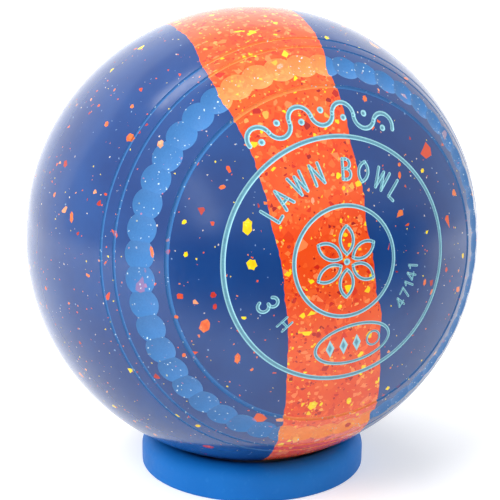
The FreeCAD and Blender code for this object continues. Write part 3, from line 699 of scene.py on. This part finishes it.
def chip_outline(length, width, draw):
    """Ragged flake: the chip's corners moved a little, with broken edges between them."""
    corners = [np.array([a * length, b * width]) * draw.uniform(0.86, 1.06) for a, b in CHIP_CORNERS]
    outline = []
    for a, b in pairs(corners):
        outline += [a, (a + b) / 2 * draw.uniform(0.84, 1.1)]
    return outline


def chip_block(x, y, length, width, turn, side, draw):
    radius = math.hypot(x, y)
    point = np.array([[x, y, height(radius, side)]])
    if side == BACK:
        point *= (-1, 1, -1)
    normal = Vector(normals_and_depths(point)[0][0])
    lean = Vector((0, 0, 1)).rotation_difference(normal).to_matrix()
    lean = lean @ Matrix.Rotation(math.radians(turn), 3, "Z")
    outline = chip_outline(length, width, draw)
    n = len(outline)
    centre = Vector(point[0])
    vertices = [centre + lean @ Vector((a, b, z)) for z in (-CHIP_DEPTH, CHIP_DEPTH) for a, b in outline]
    faces = [list(range(n))[::-1], list(range(n, 2 * n))]
    faces += [[i, (i + 1) % n, n + (i + 1) % n, n + i] for i in range(n)]
    return vertices, faces


def back_chip_places(first):
    places = []
    for k in range(BACK_CHIPS_EACH):
        x, y = polar(24.0 + 3.6 * k, GOLDEN_ANGLE * k + first)
        length = 1.4 + 0.9 * ((3 * k + first) % 3)
        places.append((x, y, length, 0.72 * length, 40 * k))
    return places


def cut_chips(blank):
    """Chips are the bowl's own surface inside each flake, and leave a pocket of the same shape."""
    draw = random.Random(11)
    pieces = []
    for name, front_places, back_first in CHIP_SETS:
        blocks = [chip_block(*place, FRONT, draw) for place in front_places]
        blocks += [chip_block(*place, BACK, draw) for place in back_chip_places(back_first)]
        cutter = together(f"{name}_cutter", blocks)
        pieces.append(boolean(copy_of(cutter, name), "INTERSECT", blank, keep_cutter=True))
        boolean(blank, "DIFFERENCE", cutter)
    return pieces


# ---- the three resin sections
def catmull(points, y):
    """x at this y on a smooth curve through points listed from top to bottom."""
    xs = [p[0] for p in points][::-1]
    ys = [p[1] for p in points][::-1]
    y = min(max(y, ys[0]), ys[-1])
    last = len(ys) - 1
    i = min(max(int(np.searchsorted(ys, y)) - 1, 0), last - 1)
    slopes = []
    for k in (i, i + 1):
        before, after = max(k - 1, 0), min(k + 1, last)
        slopes.append((xs[after] - xs[before]) / (ys[after] - ys[before]))
    span = ys[i + 1] - ys[i]
    t = (y - ys[i]) / span
    return ((2 * t**3 - 3 * t**2 + 1) * xs[i] + (t**3 - 2 * t**2 + t) * span * slopes[0]
            + (-2 * t**3 + 3 * t**2) * xs[i + 1] + (t**3 - t**2) * span * slopes[1])


COARSE_CELL = 5  # grid steps to a coarse jag of the band's edge
COARSE_JAG, FINE_JAG = 0.28, 0.09


def ragged_block(name, edge, outside, seed):
    """Block beyond one edge of the band. Its wall is uneven, as the chips of the two resins leave it."""
    draw = np.random.default_rng(seed)
    reach, step = 68.0, 1.1
    count = int(2 * reach / step) + 1
    last = count - 1
    coarse_count = count // COARSE_CELL + 3
    coarse = draw.normal(0, 1, (coarse_count, coarse_count))
    fine = draw.normal(0, 1, (count, count))
    cell = (np.arange(count) / COARSE_CELL).astype(int)
    share = np.arange(count) / COARSE_CELL - cell
    rows = coarse[cell] * (1 - share)[:, None] + coarse[cell + 1] * share[:, None]
    jag = COARSE_JAG * (rows[:, cell] * (1 - share) + rows[:, cell + 1] * share) + FINE_JAG * fine
    places = [-reach + i * step for i in range(count)]
    vertices = []
    for y, jags in zip(places, jag):
        x = catmull(edge, y)
        vertices += [(x + away, y, z) for away, z in zip(jags, places)]
    rim = [(i, j) for i in range(count) for j in range(count) if i in (0, last) or j in (0, last)]
    vertices += [(outside, places[i], places[j]) for i, j in rim]
    far = {place: count * count + k for k, place in enumerate(rim)}
    faces = square_grid(count)
    loop = [(i, 0) for i in range(last)] + [(last, j) for j in range(last)]
    loop += [(i, last) for i in range(last, 0, -1)] + [(0, j) for j in range(last, 0, -1)]
    for (i, j), (k, m) in pairs(loop):
        faces.append([i * count + j, k * count + m, far[k, m], far[i, j]])
    faces.append([far[place] for place in loop])
    block = new_object(name, vertices, faces)
    face_outward(block)
    return block


def split_sections(blank):
    left_block = ragged_block("left_block", BAND_LEFT_EDGE, -90.0, 3)
    right_block = ragged_block("right_block", BAND_RIGHT_EDGE, 90.0, 4)
    left = boolean(copy_of(blank, "blue_section_left"), "INTERSECT", left_block, keep_cutter=True)
    right = boolean(copy_of(blank, "blue_section_right"), "INTERSECT", right_block, keep_cutter=True)
    blank.name = "orange_band"
    boolean(blank, "DIFFERENCE", left_block)
    boolean(blank, "DIFFERENCE", right_block)
    return [left, blank, right]


# ---- shading of the finished meshes
POLISHED, MATTE = 0, 1
SKIN_DEPTH = 0.03  # a face of the turned surface lies no further from it than this
SKIN_LEVEL = 0.985  # and is turned no further from it than this cosine
CUT_LEVEL = 0.6  # the same for the floors of scoops and grooves
GRIP_RADII = (39.6, 47.7)
GRIP_FLOOR = 1.15
SKIN_SHARP, PAINT_SHARP, RING_SHARP = 24, 50, 30  # degrees from which an edge is sharp


def finish_skin(obj):
    """Sharp edges by angle, true normals on the turned surface, and matte slots in the cuts."""
    mesh = obj.data
    centres = read(mesh.polygons, "center")
    normals, depths = normals_and_depths(centres)
    level = np.einsum("ij,ij->i", normals, read(mesh.polygons, "normal"))
    on_skin = (np.abs(depths) < SKIN_DEPTH) & (level > SKIN_LEVEL)
    radius = np.hypot(centres[:, 0], centres[:, 1])
    in_grip = (radius > GRIP_RADII[0]) & (radius < GRIP_RADII[1])
    turned = ~on_skin & in_grip & (level > CUT_LEVEL) & (depths < GRIP_FLOOR)
    for groove_radius, width in GROOVES:
        turned |= ~on_skin & (np.abs(radius - groove_radius) < width / 2 + 0.1) & (depths < width)
    mesh.polygons.foreach_set("material_index", np.where(turned, MATTE, POLISHED).astype(np.int32))
    smooth(obj, SKIN_SHARP)
    corner_normals = read(mesh.corner_normals, "vector", kind=np.float32)
    vertex_of = read(mesh.loops, "vertex_index", 1, np.int32)
    true_normals = normals_and_depths(read(mesh.vertices, "co"))[0][vertex_of]
    skin_corner = np.repeat(on_skin, read(mesh.polygons, "loop_total", 1, np.int32))
    corner_normals[skin_corner] = true_normals[skin_corner]
    mesh.normals_split_custom_set(corner_normals.tolist())


def smooth(obj, angle):
    obj.data.polygons.foreach_set("use_smooth", np.ones(len(obj.data.polygons), dtype=bool))
    obj.data.set_sharp_from_angle(angle=math.radians(angle))


# ---- materials
def to_linear(red, green, blue):
    """Linear colour, with full alpha, from the 0 to 255 values seen on a screen."""
    def channel(c):
        c /= 255
        return c / 12.92 if c <= 0.04045 else ((c + 0.055) / 1.055) ** 2.4
    return (channel(red), channel(green), channel(blue), 1)


def colour_list(*codes):
    return [to_linear(*code) for code in codes]


class Nodes:
    """Short ways to build the nodes of a material or a world."""

    def __init__(self, owner):
        owner.use_nodes = True
        self.tree = owner.node_tree

    def node(self, kind, **settings):
        made = self.tree.nodes.new(kind)
        for name, value in settings.items():
            setattr(made, name, value)
        return made

    def feed(self, socket, value):
        if isinstance(value, bpy.types.NodeSocket):
            self.tree.links.new(value, socket)
        else:
            socket.default_value = value

    def fed(self, kind, output, values, **settings):
        """Makes a node, feeds these inputs, given by name or number, and gives one of its outputs."""
        made = self.node(kind, **settings)
        for name, value in values.items():
            self.feed(made.inputs[name], value)
        return made.outputs[output]

    def math(self, operation, a, b):
        return self.fed("ShaderNodeMath", 0, {0: a, 1: b}, operation=operation)

    def spread(self, value, low, high, to_low=0.0, to_high=1.0, curve="LINEAR"):
        values = {"Value": value, "From Min": low, "From Max": high, "To Min": to_low, "To Max": to_high}
        return self.fed("ShaderNodeMapRange", "Result", values, interpolation_type=curve)

    def mix(self, factor, a, b):
        return self.fed("ShaderNodeMix", "Result", {"Factor": factor, "A": a, "B": b}, data_type="RGBA")

    def palette(self, factor, colours):
        """One of several colours, in equal shares of the factor."""
        made = self.node("ShaderNodeValToRGB")
        ramp = made.color_ramp
        ramp.interpolation = "CONSTANT"
        while len(ramp.elements) < len(colours):
            ramp.elements.new(0.5)
        for i, colour in enumerate(colours):
            ramp.elements[i].position = i / len(colours)
            ramp.elements[i].color = colour
        self.feed(made.inputs["Fac"], factor)
        return made.outputs["Color"]

    def mix_shaders(self, factor, first, second, output_kind):
        """Mixes two shaders and makes the result the surface."""
        mixed = self.fed("ShaderNodeMixShader", 0, {0: factor, 1: first, 2: second})
        self.feed(self.node(output_kind).inputs["Surface"], mixed)


class Surface(Nodes):
    """The nodes of one material round its Principled BSDF. Sizes are in mm."""

    def __init__(self, name):
        self.material = bpy.data.materials.new(name)
        super().__init__(self.material)
        self.inputs = self.tree.nodes["Principled BSDF"].inputs
        self.place = self.node("ShaderNodeTexCoord").outputs["Object"]

    def noise(self, per_mm, detail):
        values = {"Vector": self.place, "Scale": per_mm / MM, "Detail": detail}
        return self.fed("ShaderNodeTexNoise", "Fac", values)

    def flakes(self, size, share, seed):
        """Angular flakes of about this size: a mask, and a random number for each flake."""
        shift = (seed * 0.0371, seed * 0.0113, seed * 0.0257)
        place = self.fed("ShaderNodeVectorMath", 0, {0: self.place, 1: shift}, operation="ADD")
        cells = {"Vector": place, "Scale": 0.8 / (size * MM)}
        colour = self.fed("ShaderNodeTexVoronoi", "Color", cells, feature="F1")
        to_edge = self.fed("ShaderNodeTexVoronoi", "Distance", cells, feature="DISTANCE_TO_EDGE")
        parts = self.node("ShaderNodeSeparateColor")
        self.feed(parts.inputs[0], colour)
        chosen = self.math("LESS_THAN", parts.outputs["Red"], share)
        inset = self.math("MULTIPLY", parts.outputs["Green"], 0.22)
        inside = self.math("GREATER_THAN", to_edge, self.math("ADD", inset, 0.02))
        return self.math("MULTIPLY", chosen, inside), parts.outputs["Blue"]

    def speckled(self, colour, layers):
        """The colour under layers of flakes, each given as size, share, seed and the flakes' colours."""
        for size, share, seed, colours in layers:
            mask, pick = self.flakes(size, share, seed)
            flake = self.palette(pick, colours) if len(colours) > 1 else colours[0]
            colour = self.mix(mask, colour, flake)
        return colour

    def finish(self, colour, roughness, dents):
        """Feeds the shader. Roughness is a noise and the range it is spread from and to. Dents are a
        noise, the distance it stands out and its strength."""
        per_mm, detail, *ends = roughness
        self.feed(self.inputs["Base Color"], colour)
        self.feed(self.inputs["Roughness"], self.spread(self.noise(per_mm, detail), *ends))
        per_mm, detail, distance, strength = dents
        bump = {"Strength": strength, "Distance": distance * MM, "Height": self.noise(per_mm, detail)}
        self.feed(self.inputs["Normal"], self.fed("ShaderNodeBump", "Normal", bump))
        return self.material


BLUE_DEEP, BLUE_LIGHT = colour_list((19, 57, 119), (26, 71, 135))
BLUE_CHIPS = colour_list((226, 88, 38), (236, 120, 62), (214, 70, 36), (232, 150, 108), (178, 44, 34))
SPECKS = colour_list((236, 130, 84), (214, 200, 190), (240, 96, 44), (120, 150, 190), (240, 214, 60))
ORANGES = colour_list(
    (240, 84, 24), (232, 70, 18), (246, 104, 42), (238, 92, 30), (224, 62, 18), (248, 128, 70),
)
BAND_CHIPS = colour_list(
    (186, 30, 22), (246, 138, 70), (252, 206, 24), (220, 50, 20), (250, 156, 80), (160, 24, 24),
    (248, 120, 54), (206, 38, 20), (252, 170, 70),
)
YELLOW = to_linear(250, 218, 10)
# Engraving paint: a pale painted highlight for the rim of a stroke, and two darker tones of painted groove
# shade for its middle
PAINT_RIM_HIGHLIGHT, PAINT_SHADED_MIDDLE, PAINT_SHADED_MIDDLE_DEEP = colour_list((160, 216, 226), (98, 156, 176), (78, 132, 154))
RING_DEEP, RING_LIGHT, RING_WORN = colour_list((10, 108, 190), (18, 117, 201), (48, 135, 208))
CRUMBS = to_linear(206, 224, 232)
RESIN_IOR, CUT_IOR = 1.52, 1.5


def blue_colours(surface):
    clouds = surface.spread(surface.noise(0.055, 4), 0.35, 0.7)
    return surface.speckled(surface.mix(clouds, BLUE_DEEP, BLUE_LIGHT), (
        (0.3, 0.012, 1, SPECKS),
        (0.7, 0.006, 2, BLUE_CHIPS),
        (1.3, 0.008, 3, BLUE_CHIPS),
        (2.1, 0.006, 4, BLUE_CHIPS),
        (1.2, 0.0015, 5, [YELLOW]),
    ))


def orange_colours(surface):
    clouds = surface.spread(surface.noise(0.08, 4), 0.35, 0.7)
    return surface.speckled(surface.mix(clouds, ORANGES[1], ORANGES[3]), (
        (1.9, 0.40, 11, ORANGES),
        (1.1, 0.40, 12, ORANGES),
        (0.45, 0.13, 13, BAND_CHIPS),
        (0.8, 0.11, 14, BAND_CHIPS),
        (1.4, 0.05, 15, BAND_CHIPS),
        (1.2, 0.018, 16, [YELLOW]),
    ))


def polished_resin(name, colours):
    """Hard resin buffed to a shine, with faint scuffs and very slight waves from polishing."""
    surface = Surface(name)
    surface.inputs["IOR"].default_value = RESIN_IOR
    return surface.finish(colours(surface), (0.9, 6, 0.45, 0.8, 0.13, 0.24), (0.35, 5, 0.004, 0.6))


def cut_resin(name, colours, haze, amount):
    """The same resin where a cutter left it unpolished: paler, matte and finely scored."""
    surface = Surface(name)
    surface.inputs["IOR"].default_value = CUT_IOR
    pale = surface.mix(amount, colours(surface), haze)
    streak = surface.spread(surface.noise(2.6, 4), 0.3, 0.75)
    dusty = surface.mix(surface.math("MULTIPLY", streak, 0.25), pale, haze)
    colour = surface.speckled(dusty, [(0.28, 0.02, 31, [CRUMBS])])
    return surface.finish(colour, (1.5, 4, 0.3, 0.7, 0.42, 0.6), (4.0, 5, 0.02, 0.8))


def chip_resin(name, colours):
    """A flake of another resin: its own colour with cloudy grain, polished with the rest."""
    surface = Surface(name)
    grain = surface.spread(surface.noise(1.1, 5), 0.35, 0.68)
    mask, _ = surface.flakes(0.5, 0.18, 21)
    colour = surface.mix(grain, colours[0], colours[1])
    colour = surface.mix(surface.math("MULTIPLY", mask, 0.5), colour, colours[2])
    return surface.finish(colour, (0.9, 6, 0.45, 0.8, 0.14, 0.26), (0.6, 5, 0.004, 0.6))


def engraving_paint():
    """Brushed-in enamel of patchy tone, with painted light from its groove: painted shade darkens the middle
    of a stroke and a painted highlight pales its rim.
    """
    surface = Surface("teal_enamel")
    edge = surface.node("ShaderNodeAttribute", attribute_name="edge").outputs["Fac"]
    patchy = surface.spread(surface.noise(1.6, 5), 0.32, 0.7)
    middle = surface.mix(patchy, PAINT_SHADED_MIDDLE_DEEP, PAINT_SHADED_MIDDLE)
    # painted highlight towards the rim of each stroke, over the painted shade of its middle
    colour = surface.mix(surface.spread(edge, 0.03, 0.25), middle, PAINT_RIM_HIGHLIGHT)
    return surface.finish(colour, (2.2, 4, 0.3, 0.7, 0.34, 0.56), (3.0, 5, 0.03, 0.7))


def ring_plastic():
    """Bright blue moulded plastic with a satin spark-eroded texture and a little handling wear."""
    surface = Surface("display_ring_plastic")
    surface.inputs["Specular IOR Level"].default_value = 0.25
    clouds = surface.spread(surface.noise(0.07, 4), 0.3, 0.75)
    colour = surface.mix(clouds, RING_DEEP, RING_LIGHT)
    rubbed = surface.spread(surface.noise(0.5, 8), 0.6, 0.78)
    colour = surface.mix(surface.math("MULTIPLY", rubbed, 0.3), colour, RING_WORN)
    return surface.finish(colour, (0.8, 5, 0.3, 0.75, 0.48, 0.62), (3.4, 4, 0.012, 0.7))


# ---- the display ring
RING_OUTER = 31.3
RING_INNER = 15.5
RING_WALL = 4.4
RING_SHOULDER = 7.0
RING_FOOT = 0.4
RING_SEGMENTS = 256
SEAT_EDGE, BORE_EDGE = 0.35, 0.3  # how far the seat's two edges are rounded
SEAT_RADIUS = RUNNING_RADIUS + 0.3


def seat_height(radius):
    return CENTRE_HEIGHT - math.sqrt(SEAT_RADIUS**2 - radius**2)


def soft_corner(before, corner, after, size):
    """Five points that round a corner off."""
    before, corner, after = map(np.array, (before, corner, after))
    start = corner + size * (before - corner) / np.linalg.norm(before - corner)
    end = corner + size * (after - corner) / np.linalg.norm(after - corner)
    steps = np.linspace(0, 1, 5)
    return [(1 - t) ** 2 * start + 2 * t * (1 - t) * corner + t**2 * end for t in steps]


def display_ring():
    """Turned ring: flat foot, rounded shoulder, and a hollow seat for the bowl."""
    edge = RING_OUTER - RING_SHOULDER
    climb = seat_height(edge) - RING_WALL
    turn_radius = (RING_SHOULDER**2 + climb**2) / (2 * RING_SHOULDER)
    middle = RING_OUTER - turn_radius
    last = math.pi - math.atan2(climb, middle - edge)
    rounded = [around(turn_radius, a, (middle, RING_WALL)) for a in np.linspace(0, last, 30)]
    seat = [(r, seat_height(r)) for r in np.linspace(edge, RING_INNER, 26)]
    profile = soft_corner((RING_INNER, 3), (RING_INNER, 0), (RING_OUTER, 0), RING_FOOT)
    profile += soft_corner((RING_INNER, 0), (RING_OUTER, 0), (RING_OUTER, 3), RING_FOOT)
    profile += [(RING_OUTER, up) for up in (1.5, 3.0)]
    profile += rounded[:-2]
    profile += soft_corner(rounded[-3], rounded[-1], seat[2], SEAT_EDGE)
    profile += seat[2:-2]
    profile += soft_corner(seat[-3], seat[-1], (RING_INNER, 0), BORE_EDGE)
    m = len(profile)
    vertices, faces = [], []
    for i in range(RING_SEGMENTS):
        turn = 2 * math.pi * i / RING_SEGMENTS
        vertices += [tuple(c * MM for c in (*around(r, turn), up)) for r, up in profile]
        faces += strip(i * m, (i + 1) % RING_SEGMENTS * m, m)
    return together("display_ring_turned", [(vertices, faces)])


# ---- everything together
def stroke_edges(obj):
    """Marks each paint vertex: 1 at the edge of its stroke, 0 in the middle and below."""
    depths = normals_and_depths(read(obj.data.vertices, "co"))[1]
    share = np.clip((MIDDLE_SINK - depths) / (MIDDLE_SINK - EDGE_SINK), 0, 1)
    # the teal paint uses this mark to paint a highlight on the rim of each stroke
    edge = obj.data.attributes.new("edge", "FLOAT", "POINT")
    edge.data.foreach_set("value", share.astype(np.float32))


def place_piece(obj, node, slot, *materials):
    """Moves a piece to the CAD frame and lets it stand in for its node."""
    obj.name = obj.data.name = f"{node}_finished"
    for material in materials:
        obj.data.materials.append(material)
    obj.data.transform(STAND_UP)
    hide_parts(node)
    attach(obj, "bowl")


BLUE = polished_resin("blue_resin_polished", blue_colours)
BLUE_CUT = cut_resin("blue_resin_cut", blue_colours, to_linear(72, 142, 204), 0.5)
ORANGE = polished_resin("orange_resin_polished", orange_colours)
ORANGE_CUT = cut_resin("orange_resin_cut", orange_colours, to_linear(252, 176, 100), 0.42)
PAINT = engraving_paint()
CHIP_RESINS = {  # slot and colours of each set of chips
    "yellow_chips": ("yellow_resin", [YELLOW, *colour_list((244, 196, 20), (255, 236, 90))]),
    "orange_chips": ("light_orange_resin", [BLUE_CHIPS[1], BLUE_CHIPS[0], BLUE_CHIPS[3]]),
    "red_chips": ("red_resin", [BLUE_CHIPS[4], to_linear(206, 52, 38), BLUE_CHIPS[1]]),
    "peach_chips": ("peach_resin", [BLUE_CHIPS[3], to_linear(240, 178, 140), SPECKS[1]]),
}

bowl = turned_blank()
cut_scoops(bowl)
cut_marks(bowl)
for paint in paint_pieces():
    stroke_edges(paint)
    smooth(paint, PAINT_SHARP)
    place_piece(paint, paint.name.split(".")[0], "teal_paint", PAINT)
for chip in cut_chips(bowl):
    node_name = chip.name.split(".")[0]
    slot_name, colours = CHIP_RESINS[node_name]
    resin = chip_resin(slot_name, colours)
    finish_skin(chip)
    place_piece(chip, node_name, slot_name, resin, resin)
left_section, band, right_section = split_sections(bowl)
for section, node_name, slot_name, shiny, matte in (
    (left_section, "blue_section_left", "blue_resin", BLUE, BLUE_CUT),
    (band, "orange_band", "orange_resin", ORANGE, ORANGE_CUT),
    (right_section, "blue_section_right", "blue_resin", BLUE, BLUE_CUT),
):
    finish_skin(section)
    place_piece(section, node_name, slot_name, shiny, matte)

ring = display_ring()
smooth(ring, RING_SHARP)
ring.data.materials.append(ring_plastic())
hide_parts("display_ring")
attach(ring, "display_ring")


# ---- studio
BOWL_CENTRE = Vector((0, 0, CENTRE_HEIGHT * MM))
FLOOR_WHITE = (0.82, 0.82, 0.82, 1)
ROOM_COLOUR, ROOM_STRENGTH = (0.93, 0.96, 1.0, 1), 0.6
WHITE = (1, 1, 1, 1)


def soft_lamp(name, place, width, tall, power):
    """Rectangular lamp that points at the middle of the bowl and leaves no image in its gloss."""
    data = bpy.data.lights.new(name, "AREA")
    data.shape = "RECTANGLE"
    data.size, data.size_y = width, tall
    data.energy = power
    lamp = bpy.data.objects.new(name, data)
    scene.collection.objects.link(lamp)
    axis = Vector(place) - BOWL_CENTRE
    lamp.matrix_world = Matrix.Translation(place) @ axis.to_track_quat("Z", "Y").to_matrix().to_4x4()
    lamp.visible_glossy = False


def seen_directly(nodes):
    """1 for what the camera sees, also in a reflection or through glass, otherwise 0."""
    rays = nodes.node("ShaderNodeLightPath").outputs
    first = nodes.math("MAXIMUM", rays["Is Camera Ray"], rays["Is Transmission Ray"])
    return nodes.math("MAXIMUM", first, rays["Is Glossy Ray"])


def card_material(name, colour, near_glow, far_glow):
    """Matte card whose glow is only seen, and lights nothing. It is weaker near the object, which keeps
    its shadow there."""
    surface = Surface(name)
    surface.inputs["Base Color"].default_value = colour
    surface.inputs["Roughness"].default_value = 0.9
    surface.inputs["Emission Color"].default_value = WHITE
    distance = surface.fed("ShaderNodeVectorMath", "Value", {0: surface.place}, operation="LENGTH")
    glow = surface.spread(distance, 0.2, 0.7, near_glow, far_glow, "SMOOTHSTEP")
    strength = surface.math("MULTIPLY", seen_directly(surface), glow)
    surface.feed(surface.inputs["Emission Strength"], strength)
    return surface.material


def floor_and_backdrop():
    """Floor that sweeps up into a backdrop behind, as one sheet."""
    front, bend, radius, side, top = -2.0, 1.2, 0.5, 2.5, 2.5
    angles = np.linspace(0, math.pi / 2, 13)[1:]
    sweep = [(front, 0.0), (bend, 0.0)]
    sweep += [(bend + radius * math.sin(a), radius - radius * math.cos(a)) for a in angles]
    sweep += [(bend + radius, top)]
    corners = [(x, y, z) for y, z in sweep for x in (-side, side)]
    faces = [[2 * i, 2 * i + 1, 2 * i + 3, 2 * i + 2] for i in range(len(sweep) - 1)]
    floor = new_object("floor_and_backdrop", corners, faces)
    floor.data.materials.append(card_material("white_floor", FLOOR_WHITE, 0.35, 1.0))


def light_room():
    """An even pale room that lights the object, and plain white where it is seen."""
    scene.world = bpy.data.worlds.new("studio")
    nodes = Nodes(scene.world)
    nodes.tree.nodes.clear()
    room = nodes.fed("ShaderNodeBackground", 0, {"Color": ROOM_COLOUR, "Strength": ROOM_STRENGTH})
    white = nodes.fed("ShaderNodeBackground", 0, {"Color": WHITE, "Strength": 1.0})
    nodes.mix_shaders(seen_directly(nodes), room, white, "ShaderNodeOutputWorld")


def direction(across, ahead, up):
    return np.array((across, ahead, up)) / np.linalg.norm((across, ahead, up))


def reflected_patch(name, start, end, half_width, reach, material):
    """Soft-edged patch that only the gloss shows: a band of the sky between two directions, fading out
    over this half width in degrees. Where it would go under the floor it lies on it."""
    axis = start + end
    axis /= np.linalg.norm(axis)
    along = end - start
    along -= axis * np.dot(along, axis)
    along /= np.linalg.norm(along)
    across = np.cross(axis, along)
    half_length = math.degrees(math.acos(np.clip(np.dot(start, end), -1, 1))) / 2
    steps = 33
    vertices, fades = [], []
    for i in range(steps):
        for j in range(steps):
            u = (2 * i / (steps - 1) - 1) * (half_length + half_width)
            v = (2 * j / (steps - 1) - 1) * half_width
            ray = axis + math.tan(math.radians(u)) * along + math.tan(math.radians(v)) * across
            ray /= np.linalg.norm(ray)
            far = reach if ray[2] >= 0 else min(reach, (BOWL_CENTRE.z - 0.002) / -ray[2])
            vertices.append(np.array(BOWL_CENTRE) + far * ray)
            outside = math.hypot(max(abs(u) - half_length, 0), v) / half_width
            fade = min(max(1.15 * (1 - outside), 0), 1)
            fades.append(fade * fade * (3 - 2 * fade))
    patch = new_object(name, vertices, square_grid(steps))
    patch.data.attributes.new("fade", "FLOAT", "POINT").data.foreach_set("value", fades)
    patch.data.materials.append(material)
    patch.visible_camera = patch.visible_diffuse = patch.visible_shadow = False
    patch.visible_transmission = patch.visible_volume_scatter = False


def patch_material(name, strength):
    """Fades from clear to a glow, or to dull black at next to no strength."""
    material = bpy.data.materials.new(name)
    nodes = Nodes(material)
    nodes.tree.nodes.clear()
    fade = nodes.node("ShaderNodeAttribute", attribute_name="fade").outputs["Fac"]
    clear = nodes.node("ShaderNodeBsdfTransparent").outputs[0]
    glow = nodes.fed("ShaderNodeEmission", 0, {"Strength": strength})
    nodes.mix_shaders(fade, clear, glow, "ShaderNodeOutputMaterial")
    return material


floor_and_backdrop()
light_room()
soft_lamp("key", (-0.55, -0.22, 0.62), 0.5, 0.5, 6.5)
soft_lamp("fill", (0.75, -0.25, 0.45), 0.4, 0.6, 2.0)
soft_lamp("top", (0.05, 0.25, 0.85), 0.6, 0.4, 3.0)
reflected_patch("dark_flag", direction(-0.50, -0.86, -0.10), direction(0.72, -0.69, -0.05), 27, 0.6,
                patch_material("dull_black", 0.02))
reflected_patch("streak_light", direction(-0.50, 0.10, 0.80), direction(-0.28, 0.10, 0.95), 7, 0.8,
                patch_material("streak_glow", 6.0))
reflected_patch("haze_light", direction(-0.50, -0.80, 0.42), direction(-0.42, -0.88, 0.22), 8, 0.59,
                patch_material("haze_glow", 2.2))

VIEW = Vector((0.37374, 0.90815, -0.18861)).normalized()
RIGHT = VIEW.cross(Vector((0.0657, 0.1769, 0.9820))).normalized()
UP = RIGHT.cross(VIEW)
camera_data = bpy.data.cameras.new("camera")
camera_data.lens = 68.05
camera_data.sensor_width = 36.0
camera_data.clip_start = 0.01
camera = bpy.data.objects.new("camera", camera_data)
scene.collection.objects.link(camera)
camera_place = Vector((-98.35, -236.49, 108.81)) * MM
turn = Matrix((RIGHT, UP, -VIEW)).transposed().to_4x4()
camera.matrix_world = Matrix.Translation(camera_place) @ turn
scene.camera = camera
scene.view_settings.view_transform = "Standard"
